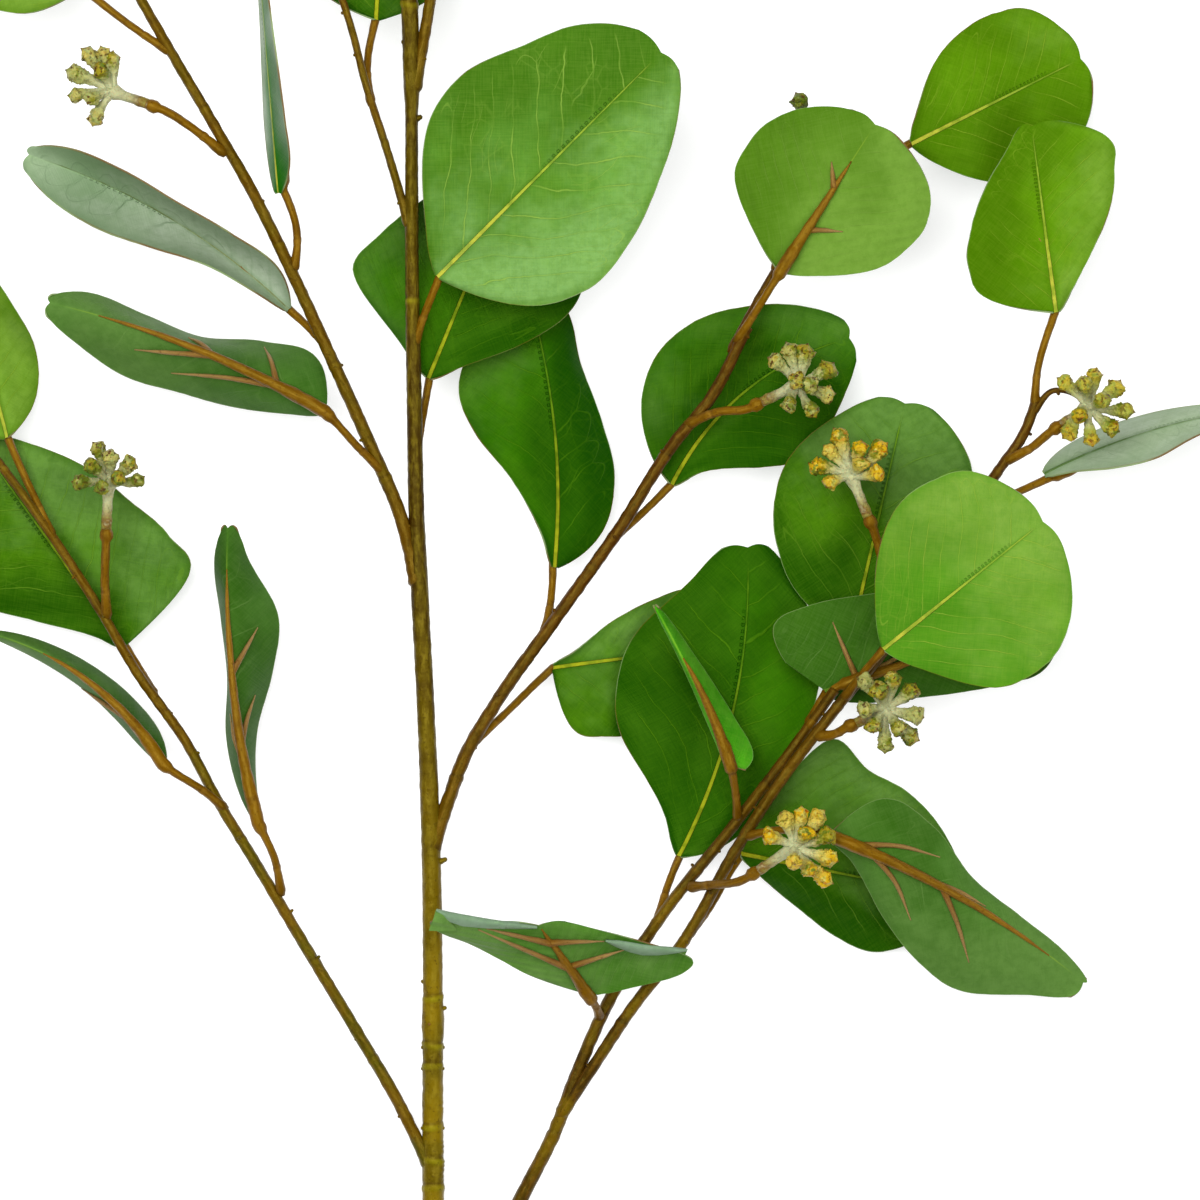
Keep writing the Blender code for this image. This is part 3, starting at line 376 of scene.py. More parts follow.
# A broad soft light above the upper left and a weaker one on the right: place, size and power.
LIGHTS = {"key": ((-0.4, 0.7, 1.8), 1.5, 44.0), "fill": ((0.9, -0.1, 1.7), 1.4, 16.0)}
LIGHT_AIM = (0.03, 0.26, 0)

# The colour of the gloss on leaves, stems and nuts.
SATIN_TINT = (0.45, 1.0, 0.05, 1.0)
STEM_GLOSS = (1.0, 0.8, 0.12, 1.0)
NUT_GLOSS = (1.0, 0.88, 0.4, 1.0)

# How much the studio light brightens a base colour, and what the gloss adds to it.
LIGHT_GAIN = 1.88
GLOSS_ADDS = (0.009, 0.014, 0.003)

# Red, green and blue from 0 to 255, all as seen under the studio light.
# A leaf's body, its darker shade (painted shade and random darker tone), its pale painted sheen and its
# printed veins.
LEAF_TINTS = {
    "mid": ((102, 158, 58), (70, 120, 26), (138, 186, 106), (164, 202, 84)),
    "green": ((76, 130, 14), (38, 88, 2), (106, 148, 70), (118, 164, 42)),
    # A green darkened as painted shade, for leaves that lie under others.
    "deep": ((52, 114, 2), (32, 84, 0), (80, 122, 48), (92, 144, 22)),
    "fresh": ((98, 152, 14), (78, 126, 2), (130, 172, 62), (152, 188, 50)),
    "lime": ((110, 160, 48), (82, 148, 30), (138, 180, 74), (168, 200, 70)),
    "bright": ((50, 142, 18), (30, 112, 8), (172, 192, 152), (110, 180, 50)),
    # Pale grey-greens painted as the sheen on leaves seen at a slant, made brighter to make up for the light
    # their steep faces miss, the first most; their vein tints are darker, as painted shade in creases.
    "frost": ((178, 202, 162), (144, 174, 128), (208, 224, 196), (116, 144, 104)),
    "silver": ((170, 196, 148), (134, 168, 112), (190, 212, 174), (126, 158, 104)),
    "folded": ((116, 152, 102), (92, 134, 78), (150, 178, 148), (150, 180, 140)),
    "back": ((84, 132, 50), (58, 104, 26), (108, 150, 70), (116, 156, 76)),
    "back_light": ((104, 150, 44), (86, 132, 28), (130, 174, 68), (136, 174, 72)),
    # A lighter copy of the back colour, as painted light on the lit strip of leaf 23.
    "back_bright": ((88, 196, 30), (66, 168, 12), (126, 210, 60), (156, 218, 70)),
    "back_clear": ((94, 146, 52), (68, 120, 30), (120, 162, 80), (130, 172, 84)),
}

# The midrib at the base and further up, and how strongly the printed veins show.
MIDRIB_TINTS = {
    "deep": ((182, 184, 36), (92, 138, 24)),
    "green": ((190, 190, 38), (112, 156, 34)),
    "frost": ((150, 158, 104), (112, 128, 76)),
    "silver": ((96, 132, 60), (104, 136, 74)),
}
USUAL_MIDRIB = ((214, 212, 74), (160, 190, 60))
VEINS_SHOW = {"deep": 0.5, "green": 0.5}
VEINS_USUALLY = 0.6
CUT_TINTS = ((136, 92, 30), (164, 190, 124), (90, 128, 50))

# A stem's colour low and high up, its other tone, dark, flecks and rings.
STEM_TINTS = {
    "stem": ((140, 116, 6), (66, 50, 2), (108, 92, 4), (62, 44, 2), (156, 138, 36), (158, 152, 20)),
    "branch": ((112, 84, 8), (104, 74, 6), (88, 84, 4), (52, 34, 2), (148, 118, 38), (124, 104, 18)),
    "twig": ((114, 92, 8), (84, 52, 4), (70, 52, 4), (36, 22, 2), (134, 92, 24), (108, 80, 14)),
    "stalk": ((134, 94, 8), (134, 94, 8), (112, 78, 4), (82, 46, 4), (172, 130, 40), (160, 118, 40)),
    "spike": ((140, 98, 32), (140, 98, 32), (124, 80, 16), (98, 58, 12), (172, 134, 76), (204, 176, 120)),
}
# Between these distances from the heel a stem passes from its low to its high colour, in metres.
CLIMB = (0.12, 0.26)

# The nuts: the cup, how much yellow shows at the tip, and how brown its flecks are.
NUT_TINTS = {
    "pale": ((188, 194, 112), 0.35, 0.9),
    "golden": ((222, 208, 92), 1.0, 0.5),
    "green": ((178, 186, 70), 0.6, 0.75),
    "bud": ((96, 116, 58), 0.1, 0.8),
}
NUT_FOOT = (210, 212, 158)
NUT_OLIVE = (106, 130, 4)
NUT_YELLOW = (238, 192, 0)
NUT_ORANGE = (206, 116, 0)
NUT_BROWN = (84, 42, 2)
PEDUNCLE_TINTS = ((128, 88, 24), (160, 148, 66))


def lerp(a, b, share):
    return a + (b - a) * share


def curve(a, b, slopes, span, t):
    """A smooth curve from a to b with the given slopes at its ends."""
    near = a * ((1 + 2 * t) * (1 - t) ** 2) + slopes[0] * (span * t * (1 - t) ** 2)
    return near + b * (t * t * (3 - 2 * t)) + slopes[1] * (span * t * t * (t - 1))


def rib_place(leaf, u):
    """Where the rib of a blade is, from its base at 0 to its tip at 1, and straight on outside."""
    base, tip = Vector(leaf.base), Vector(leaf.tip)
    along = tip - base
    left = Vector((-along.y, along.x, 0)).normalized()
    inside = min(max(u, 0.0), 1.0)
    bend = left * leaf.bow + Vector((0, 0, leaf.arch))
    place = base + along * inside + bend * 4 * inside * (1 - inside)
    slope = along + bend * 4 * (1 - 2 * inside)
    return place + slope * (u - inside), slope.normalized()


def half_width(leaf, side, u):
    """How far one half of the blade reaches, by a smooth curve through its widths."""
    given = (leaf.left, leaf.right)[side]
    places = (0.0, *WIDTHS_AT, 1.0)
    widths = (leaf.foot[side], *given, given[-1] * TIP_SHARE)
    steps = [(b - a) / (q - p) for a, b, p, q in zip(widths, widths[1:], places, places[1:])]
    slopes = [steps[0] * 1.5] + [(a + b) / 2 for a, b in zip(steps, steps[1:])] + [steps[-1] * 1.5]
    i = max(n for n in range(len(places) - 1) if places[n] <= u)
    span = places[i + 1] - places[i]
    return curve(*widths[i:i + 2], slopes[i:i + 2], span, (u - places[i]) / span)


def lean_of(leaf, side, f, width):
    """How far a place on one half leans to the tip."""
    return leaf.sweep[side] * f * width / max(max(leaf.left), max(leaf.right))


def blade_place(leaf, u, v):
    """A place on the middle of a blade: u along the rib, v from the left edge at -1 to 1."""
    place, forward = rib_place(leaf, u)
    u = min(max(u, 0.0), 1.0)
    flat = Vector((forward.y, -forward.x, 0)).normalized()
    side = 0 if v < 0 else 1
    f = abs(v)
    width = half_width(leaf, side, u)
    lift = leaf.rise[side] * math.sin(math.pi * u) ** 0.7 * (0.5 * f + 0.5 * f * f)
    lift += leaf.wave * f * f * math.sin(math.tau * WAVE_COUNT * u + 2 * v + leaf.base[0])
    calm = min(1.0, width / FULL_WIDTH) * math.sin(math.pi * u)
    lift += RIPPLE * calm * noise.noise(Vector((3.2 * u, 2.4 * v, leaf.base[0])))
    lobe = NOTCH_DEPTH * max(0.0, (u - NOTCH_FROM) / (1 - NOTCH_FROM)) ** 2 * math.sin(math.pi * f)
    place = place + flat * math.copysign(width * f, v) + flat.cross(forward) * lift
    return place + forward * (lobe + lean_of(leaf, side, f, width))


def blade_normal(leaf, u, v, step=0.03):
    """The way that the upper side of the blade faces. On the rib it is the mean of both halves."""
    u = min(max(u, step), 1 - step)
    across = (-0.5, 0.5) if v == 0 else (max(v - step, -1), min(v + step, 1))
    ahead = blade_place(leaf, u + step, v) - blade_place(leaf, u - step, v)
    aside = blade_place(leaf, u, across[1]) - blade_place(leaf, u, across[0])
    return aside.cross(ahead).normalized()


def under_blade(leaf, u, v, radius):
    """Where the middle of a rib of this radius runs, a little sunk in the back of the blade."""
    off = BLADE_THICK / 2 + radius - RIB_SUNK
    return blade_place(leaf, u, v) + blade_normal(leaf, u, v) * (off if leaf.turned else -off)


def share_at(leaf, spot):
    """How far along and across a blade the place is that lies under this one, seen from above."""
    def miss(share):
        place = blade_place(leaf, *share)
        return (place.x - spot[0]) ** 2 + (place.y - spot[1]) ** 2
    best, step = (0.5, 0.0), 0.25
    while step > 0.002:
        u, v = best
        around = [(min(max(u + i * step, 0), 1), min(max(v + j * step, -1), 1))
                  for i in (-2, -1, 0, 1, 2) for j in (-2, -1, 0, 1, 2)]
        best = min(around, key=miss)
        step /= 1.6
    return best


def new_object(name, data):
    obj = bpy.data.objects.new(name, data)
    bpy.context.scene.collection.objects.link(obj)
    return obj


def place_piece(name, mesh, node):
    """A new object under the root that stands for its node, whose own part is hidden."""
    obj = new_object(name, mesh)
    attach(obj, "root")
    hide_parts(node)


def new_mesh(name, points, faces, kinds, materials):
    """A smooth mesh from places in millimetres. Each face names its material by number."""
    mesh = bpy.data.meshes.new(name)
    mesh.from_pydata([Vector(p) * MM for p in points], [], faces)
    for material in materials:
        mesh.materials.append(material)
    mesh.polygons.foreach_set("material_index", np.asarray(kinds, np.int32))
    mesh.polygons.foreach_set("use_smooth", np.ones(len(kinds), bool))
    return mesh


def add_map(mesh, name, values):
    """A map of the faces' corners from an array with two numbers for each corner."""
    mesh.uv_layers.new(name=name, do_init=False)
    mesh.uv_layers[name].uv.foreach_set("vector", np.asarray(values, np.float32).ravel())


def sheet(name, grid, materials):
    """A thin mesh with an upper face, a lower face and a cut rim, and each corner's place in the grid."""
    normals = np.cross(np.gradient(grid, axis=1), np.gradient(grid, axis=0))
    normals /= np.maximum(np.linalg.norm(normals, axis=2, keepdims=True), 1e-9)
    rows, columns = grid.shape[:2]
    count = rows * columns
    points = np.concatenate([(grid + normals * BLADE_THICK / 2 * s).reshape(-1, 3) for s in (1, -1)])
    points[:, 2] = np.maximum(points[:, 2], BLADE_LOWEST)
    first = (np.arange(rows - 1)[:, None] * columns + np.arange(columns - 1)).ravel()
    quads = np.stack([first, first + 1, first + columns + 1, first + columns], 1)
    numbers = np.arange(count).reshape(rows, columns)
    rim = [*numbers[0], *numbers[1:, -1], *numbers[-1, -2::-1], *numbers[-2:0:-1, 0]]
    sides = [(a, count + a, count + b, b) for a, b in zip(rim, rim[1:] + rim[:1])]
    faces = np.concatenate([quads, count + quads[:, ::-1], sides])
    kinds = np.repeat((0, 1, 2), (len(quads), len(quads), len(sides)))
    mesh = new_mesh(name, points, faces.tolist(), kinds, materials)
    ends = np.array([edge.vertices for edge in mesh.edges])
    on_rim = np.isin(ends % count, rim).all(axis=1)
    mesh.edges.foreach_set("use_edge_sharp", on_rim & (ends[:, 0] // count == ends[:, 1] // count))
    return mesh, faces % count


def blade_grid(leaf):
    """The places on the middle of a blade, and for each the share along it and across it."""
    shares = np.linspace(0, 1, BLADE_ROWS + 1)
    us = 0.4 * shares + 0.6 * (0.5 - 0.5 * np.cos(math.pi * shares))
    vs = np.linspace(-1, 1, BLADE_COLUMNS + 1)
    grid = np.array([[blade_place(leaf, u, v) for v in vs] for u in us])
    for row in grid[1:-1]:
        for column in (0, -1):
            out = row[column] - row[BLADE_COLUMNS // 2]
            frayed = FRAY * noise.noise(Vector(row[column]) * 1.7)
            row[column] += out / max(np.linalg.norm(out), 1) * frayed
    return grid, us, vs


def blade_maps(leaf, grid, us, vs):
    """For each half and each place: along and across, vein and edge, thread numbers, and the share of
    painted light, from painted shade to painted sheen.
    """
    length = np.linalg.norm(np.diff(grid[:, BLADE_COLUMNS // 2], axis=0), axis=1).sum()
    rib_scale = math.sqrt(min(1.0, (max(leaf.left) + max(leaf.right)) / 2 / FULL_WIDTH))
    middle, to_tip, to_right = leaf.pale
    u, f = us[:, None], np.abs(vs)
    # How much painted sheen (toward 1) or painted shade (toward 0) each place gets.
    painted_light = np.clip(middle + to_tip * (2 * u - 1) + to_right * vs, 0, 1)
    for side in (0, 1):
        width = np.array([[half_width(leaf, side, share)] for share in us])
        aside = width * f
        signed = aside * (2 * side - 1)
        along = u * length + lean_of(leaf, side, f, width)
        bent = VEIN_SLOPE * (1.35 - 0.6 * u) * aside + VEIN_CURVE * aside ** 2
        vein = (along - bent) * VEINS_A_SIDE / length + 0.3 + 0.45 * side + leaf.base[0] % 1
        edge = np.minimum(width - aside, (1 - u) * length + 1.5)
        pairs = {
            "Rib": (u, 0.5 + signed / 100 / rib_scale),
            "Vein": (vein / 20, edge / 100),
            "Thread": ((along + signed) / 200, (along - signed) / 200),
            "Tone": (painted_light, leaf.base[0] / 100),
        }
        yield {name: np.stack(np.broadcast_arrays(*pair), 2).reshape(-1, 2) for name, pair in pairs.items()}


def blade(leaf, materials):
    """One thin blade, with its maps."""
    grid, us, vs = blade_grid(leaf)
    mesh, corners = sheet(leaf.name, grid, materials)
    on_right = (corners % len(vs)).min(axis=1) >= BLADE_COLUMNS // 2
    left, right = blade_maps(leaf, grid, us, vs)
    for name in left:
        values = np.stack([left[name], right[name]])
        add_map(mesh, name, values[np.repeat(on_right.astype(int), 4), corners.ravel()])
    place_piece(leaf.name + "_blade", mesh, leaf.name)


def fold_section(leaf, outer, inner, over_edge):
    """The places across a fold, from the edge of the blade over the outer place to the inner one."""
    edge = blade_place(leaf, *share_at(leaf, outer))
    under = blade_place(leaf, *share_at(leaf, inner))
    low, high = (*outer, edge.z + FOLD_RISE / 4), (*outer, edge.z + FOLD_RISE)
    end = (*inner, under.z + FOLD_RISE)
    stops = np.array([edge, low, high, end] if over_edge else [high, high, high, end])
    at = np.array(FOLD_ACROSS if over_edge else FOLD_ACROSS[2:])
    section = np.stack([np.interp(at, FOLD_STOPS, stops[:, axis]) for axis in range(3)], 1)
    over = np.clip((at - FOLD_STOPS[2]) / (1 - FOLD_STOPS[2]), 0, 1)
    section[:, 2] += FOLD_BULGE * np.sin(math.pi * over)
    return section


def fold(leaf, number, upper, rows, made):
    """One folded part of a blade."""
    shares = np.linspace(0, 1, FOLD_STEPS * (len(rows) - 1) + 1)
    at = np.linspace(0, 1, len(rows))
    lines = np.stack([np.interp(shares, at, numbers) for numbers in zip(*rows)], 1)
    grid = np.array([fold_section(leaf, line[:2], line[2:], upper == "folded") for line in lines])
    mesh, corners = sheet("fold", grid, [made[upper], made["back"], made["cut"]])
    for name, value in FOLD_MAPS.items():
        add_map(mesh, name, np.tile(value, (corners.size, 1)))
    add_map(mesh, "Thread", grid.reshape(-1, 3)[corners.ravel(), :2] / 200)
    place_piece(leaf.name + "_fold_" + str(number), mesh, leaf.name)


def smooth_path(places, radii, step):
    """Many places along a smooth curve through a few, each with its radius."""
    points = [Vector(p) for p in places]
    gaps = [(b - a).length for a, b in zip(points, points[1:])]
    ways = [(b - a) / gap for a, b, gap in zip(points, points[1:], gaps)]
    inner = [(a * q + b * p) / (p + q) for a, b, p, q in zip(ways, ways[1:], gaps, gaps[1:])]
    slopes = [ways[0], *inner, ways[-1]]
    path = []
    for i, gap in enumerate(gaps):
        count = max(2, round(gap / step))
        for n in range(count + (i == len(gaps) - 1)):
            t = n / count
            spot = curve(*points[i:i + 2], slopes[i:i + 2], gap, t)
            path.append((spot, lerp(*radii[i:i + 2], t * t * (3 - 2 * t))))
    return path


def place_at(path, length):
    """The place and radius on a path that are this far along it."""
    gone = 0.0
    for (before, _), here in zip(path, path[1:]):
        gone += (here[0] - before).length
        if gone >= length:
            return here
    return path[-1]


def flared(path, more):
    """A path that starts thin inside what carries it, and is thicker where it comes out."""
    grown = []
    for n, (place, radius) in enumerate(path):
        gone = n * BRANCH_STEP
        inside = 1 - 0.5 * math.exp(-(gone / THIN_REACH) ** 2)
        grown.append((place, radius * inside * (1 + more * math.exp(-gone / FLARE_REACH))))
    return grown


def relaxed(path, leaf, rounds=90):
    """Takes the kinks out of a stalk between its root and the foot of its blade."""
    foot = rib_place(leaf, 0)[0]
    last = min(range(len(path)), key=lambda n: (path[n][0] - foot).length)
    places = [place for place, _ in path]
    for _ in range(rounds):
        for n in range(3, last):
            places[n] = places[n].lerp((places[n - 1] + places[n + 1]) / 2, 0.5)
    return [(place, radius) for place, (_, radius) in zip(places, path)]


def tube(path, sides, surface=None):
    """Points, faces and corner numbers of a closed tube along a path. A corner has the angle's
    share, the length, and how much it is on a ring and in a groove."""
    places = [place for place, _ in path]
    around = zip([places[0]] + places[:-1], places[1:] + [places[-1]])
    tangents = [(b - a).normalized() for a, b in around]
    across = tangents[0].orthogonal().normalized()
    lengths = np.cumsum([0] + [(b - a).length for a, b in zip(places, places[1:])])
    points, marks = [], []
    for (place, radius), tangent, length in zip(path, tangents, lengths):
        across = (across - tangent * across.dot(tangent)).normalized()
        beside = tangent.cross(across)
        for i in range(sides):
            angle = math.tau * i / sides
            scale, *mark = surface(length, angle) if surface else (1, 0, 0)
            points.append(place + (across * math.cos(angle) + beside * math.sin(angle)) * radius * scale)
            marks.append(mark)
    faces, maps = [], []
    for r, (low, high) in enumerate(zip(lengths / 100, lengths[1:] / 100)):
        for i in range(sides):
            a, b = r * sides + i, r * sides + (i + 1) % sides
            corners = ((a, i, low), (b, i + 1, low), (b + sides, i + 1, high), (a + sides, i, high))
            faces.append([corner[0] for corner in corners])
            maps += [(turn / sides, at, *marks[point]) for point, turn, at in corners]
    for ring, off in ((0, -0.4), (len(path) - 1, 0.4)):
        points.append(places[ring] + tangents[ring] * path[ring][1] * off)
        for i in range(sides):
            a, b = ring * sides + i, ring * sides + (i + 1) % sides
            faces.append([a, b, len(points) - 1] if ring else [b, a, len(points) - 1])
            maps += [(i / sides, lengths[ring] / 100, 0, 0)] * 3
    return points, faces, maps


def tube_piece(name, parts, materials, node="stem"):
    """One piece from several tubes, each with its material's number. Nothing is under the surface."""
    points, faces, maps, kinds = [], [], [], []
    for (part_points, part_faces, part_maps), kind in parts:
        faces += [[len(points) + i for i in face] for face in part_faces]
        points += part_points
        maps += part_maps
        kinds += [kind] * len(part_faces)
    for point in points:
        point.z = max(point.z, 0.0)
    mesh = new_mesh(name, points, faces, kinds, materials)
    add_map(mesh, "Length", [corner[:2] for corner in maps])
    add_map(mesh, "Mark", [corner[2:] for corner in maps])
    place_piece(name, mesh, node)


def ring_surface(spots, relief, seed, rough=()):
    """For a tube: raised rings at the given lengths with a groove beyond each, on a lumpy
    surface. Each rough stretch, given by its ends, has fine teeth along its right side."""
    height, width, lumps = relief

    def surface(length, angle):
        around = Vector((math.cos(angle), math.sin(angle), length * 0.35 + seed * 17))
        scale = 1 + lumps * noise.noise(around * 1.3)
        ring = groove = 0.0
        nearest = bisect.bisect(spots, length)
        for n in range(max(0, nearest - 1), min(len(spots), nearest + 1)):
            tilt = 0.35 * math.sin(angle + n * 2.1)
            distance = (length - spots[n] - tilt) / width
            uneven = 0.75 + 0.25 * math.sin(angle * 2 + n * 1.7)
            ring = max(ring, math.exp(-distance ** 4) * uneven)
            groove = max(groove, math.exp(-((distance - 1.5) / 0.5) ** 2))
        for start, end in rough:
            if start < length < end:
                teeth = 0.5 + 0.5 * math.sin(length * 4.6 + math.sin(length))
                scale += TEETH_DEPTH * teeth * max(0.0, around.x * 3 - 2)
        return scale + height * ring - GROOVE_DEPTH * groove, ring, groove
    return surface


def paling(surface, start, end):
    """The same surface, that gets paler from one length to another."""
    def paler(length, angle):
        scale, ring, groove = surface(length, angle)
        return scale, max(ring, min(1.0, max(0.0, (length - start) / (end - start)))), groove
    return paler


def nub(place, way, length, radius):
    """A small broken-off knuckle beside a stem."""
    place, way = Vector(place), Vector(way).normalized()
    return tube([(place + way * length * at, radius * scale) for at, scale in NUB_PROFILE], NUB_SIDES)


def main_stem(materials):
    """The main stem with its rings, knuckles and scar."""
    middle, reach, more = SWELLING
    path = [(place, radius * (1 + more * math.exp(-((n * MAIN_STEP - middle) / reach) ** 2)))
            for n, (place, radius) in enumerate(smooth_path(*zip(*MAIN_STEM), MAIN_STEP))]
    parts = [(tube(path, MAIN_SIDES, ring_surface(MAIN_RINGS, MAIN_RELIEF, 1, MAIN_ROUGH)), 0)]
    parts += [(nub(*spot), 0) for spot in MAIN_NUBS]
    parts.append((nub(*SCAR), 1))
    for ring in KNUCKLE_RINGS:
        place, radius = place_at(path, ring)
        for side in (-1, 1):
            parts.append((nub(place + Vector((side * radius * 0.8, -1, 0)), (side, 0.3, 0.3), 1, 0.7), 0))
    tube_piece("main_stem", parts, materials)


def branch(name, number, rod, materials):
    """A side branch, thicker where it leaves what carries it, with uneven rings and small steps."""
    draw = random.Random(number)
    radii = [lerp(*rod.radii, i / (len(rod.places) - 1)) for i in range(len(rod.places))]
    path = flared(smooth_path(rod.places, radii, BRANCH_STEP), BRANCH_FLARE)
    length = sum((b[0] - a[0]).length for a, b in zip(path, path[1:]))
    spots = []
    while not spots or spots[-1] < length:
        spots.append((spots[-1] if spots else 0) + KNUCKLE_GAP * draw.uniform(0.5, 1.3))
    parts = [(tube(path, BRANCH_SIDES, ring_surface(spots[1::3], BRANCH_RELIEF, number)), 0)]
    for spot in spots[:-1]:
        place, radius = place_at(path, spot)
        way = Vector((draw.uniform(-1, 1), draw.uniform(-1, 1), draw.uniform(-0.2, 0.8))).normalized()
        parts.append((nub(place + way * radius * 0.7, way, draw.uniform(0.7, 1.4), 0.6), 0))
    tube_piece("branch_" + name, parts, materials)


def side_ribs(leaf):
    """Where each side rib starts and ends on the blade, along and across."""
    if leaf.spikes is not None:
        return [((share_at(leaf, ends[:2])[0], 0.0), share_at(leaf, ends[2:])) for ends in leaf.spikes]
    return [((start, 0.0), (end, -v)) for start, end, v in SIDE_RIBS]


def leaf_carrier(leaf, seed, materials):
    """The stalk, socket and main rib of one blade, and its side ribs."""
    start, end = leaf.plug or SOCKETS[leaf.turned]
    rows = [(start, STALK_RADIUS * 1.1, SOCKET_RADIUS), (start + SOCKET_STEP, SOCKET_RADIUS, SOCKET_RADIUS),
            (end, SOCKET_RADIUS, SOCKET_RADIUS)]
    rows += [(lerp(end, leaf.rib_end, share), radius, radius) for share, radius in RIB_ROWS]
    places = [*leaf.stalk, *(under_blade(leaf, u, 0, depth) for u, _, depth in rows)]
    radii = [STALK_RADIUS] * len(leaf.stalk) + [radius for _, radius, _ in rows]
    path = flared(relaxed(smooth_path(places, radii, BRANCH_STEP), leaf), STALK_FLARE)
    grown = [at for at, (_, radius) in enumerate(path) if radius > SOCKET_RADIUS * 0.9]
    rib_from = grown[-1] * BRANCH_STEP if grown else 0
    ringed = ring_surface((9,), STALK_RELIEF, seed)
    parts = [(tube(path, STALK_SIDES, paling(ringed, rib_from, len(path) * BRANCH_STEP)), 0)]
    lumpy = ring_surface((), SIDE_RIB_RELIEF, seed)
    for (u0, v0), (u1, v1) in side_ribs(leaf):
        rib = [under_blade(leaf, lerp(u0, u1, share), lerp(v0, v1, share), radius)
               for share, radius in zip((0.0, 0.5, 1.0), SIDE_RIB_RADII)]
        side = smooth_path(rib, SIDE_RIB_RADII, 1.0)
        parts.append((tube(side, SIDE_RIB_SIDES, paling(lumpy, 0, len(side))), 1))
    tube_piece(leaf.name + "_carrier", parts, materials)


def nut_stalk(cluster, seed, materials):
    """The brown stalk of a cluster, ending in its collar."""
    foot = Vector(cluster.stalk[-1])
    way = (Vector(cluster.hub) - foot).normalized()
    places = [*cluster.stalk[:-1], *(foot + way * off for off, _ in COLLAR)]
    radii = [NUT_STALK_RADIUS] * (len(cluster.stalk) - 1) + [radius for _, radius in COLLAR]
    path = flared(smooth_path(places, radii, BRANCH_STEP), STALK_FLARE)
    parts = [(tube(path, STALK_SIDES, ring_surface((8,), NUT_STALK_RELIEF, seed)), 0)]
    tube_piece(cluster.name + "_stalk", parts, materials)


def nut_surface(draw):
    """Sharp ridges that run up a nut, and a knobbly rim."""
    count, turn, seed = draw.choice((4, 5)), draw.uniform(0, 6), draw.uniform(0, 50)
    kinds = (max(0.0, draw.uniform(-0.5, 1.0)), draw.uniform(0.0, 1.0))

    def surface(length, angle):
        ridge = 0.18 * (abs(math.cos(count / 2 * angle + turn)) ** 0.7 - 0.6)
        around = Vector((math.cos(angle) * 1.7, math.sin(angle) * 1.7, length * 0.6 + seed))
        tip = min(max((length - 5.5) / 2.5, 0.0), 1.0)
        bumps = zip((0.34, 0.2, 0.3 * tip), (1, 2.6, 3.9))
        knobs = sum(much * noise.noise(around * scale) for much, scale in bumps)
        return (1 + (ridge + knobs) * min(length / 6, 1), *kinds)
    return surface


def nut(cluster, number, across):
    """One gum nut from the hub outwards: a pale foot, a ridged cup and a small beak."""
    draw = random.Random(cluster.name + str(number))
    flat = Vector((*across, 0))
    depth = math.sqrt(max(NUT_REACH ** 2 - flat.length_squared, LEAST_DEPTH))
    tip = flat + Vector((0, 0, depth if number % 3 else depth / 2))
    end = tip.normalized() * (tip.length + NUT_BEYOND) * draw.uniform(0.95, 1.03)
    lean = end.cross(Vector((draw.uniform(-1, 1), draw.uniform(-1, 1), 1))).normalized()
    wide = draw.uniform(0.85, 1.1)
    path = []
    for share in np.linspace(0, 1, NUT_RINGS):
        radius = np.interp(share, *zip(*NUT_PROFILE))
        bend = 0.5 * math.sin(math.pi * share) + 0.6 * max(0.0, share - 0.85) / 0.15 * (number % 3 - 1)
        place = Vector(cluster.hub) + end * share + lean * bend
        path.append((place, float(radius) * (wide if share > 0.3 else 1)))
    points, faces, maps = tube(path, NUT_SIDES, nut_surface(draw))
    total = end.length / 100
    return points, faces, [(a, b / total, c, d) for a, b, c, d in maps]


def nut_cluster(cluster, materials):
    """The mottled peduncle and hub of a cluster, with its nuts."""
    foot, hub = Vector(cluster.stalk[-1]), Vector(cluster.hub)
    way = (hub - foot).normalized()
    places = [foot + way * 0.3, lerp(foot, hub, 0.25), lerp(foot, hub, 0.6), hub, hub + way * 1.4]
    path = smooth_path(places, PEDUNCLE_RADII, PEDUNCLE_STEP)
    surface = ring_surface((2,), PEDUNCLE_RELIEF, len(cluster.nuts))
    points, faces, maps = tube(path, STALK_SIDES, surface)
    total = (hub - foot).length / 100
    parts = [((points, faces, [(a, min(b / total, 1) - 1, 0, 0) for a, b, _, _ in maps]), 0)]
    parts += [(nut(cluster, number, across), 0) for number, across in enumerate(cluster.nuts)]
    tube_piece(cluster.name + "_nuts", parts, materials, cluster.name)


def linear(colour):
    """The base colour, in linear numbers, that looks like this under the studio light."""
    parts = [c / 255 for c in colour]
    seen = [c / 12.92 if c <= 0.04045 else ((c + 0.055) / 1.055) ** 2.4 for c in parts]
    return (*[max(c - gloss, 0.0) / LIGHT_GAIN for c, gloss in zip(seen, GLOSS_ADDS)], 1.0)


class Value:
    """What a node of a material gives, which can be added, taken away and multiplied."""

    def __init__(self, shader, socket):
        self.shader = shader
        self.socket = socket

    def __add__(self, other):
        return self.shader.math("ADD", self, other)

    def __sub__(self, other):
        return self.shader.math("SUBTRACT", self, other)

    def __mul__(self, other):
        return self.shader.math("MULTIPLY", self, other)


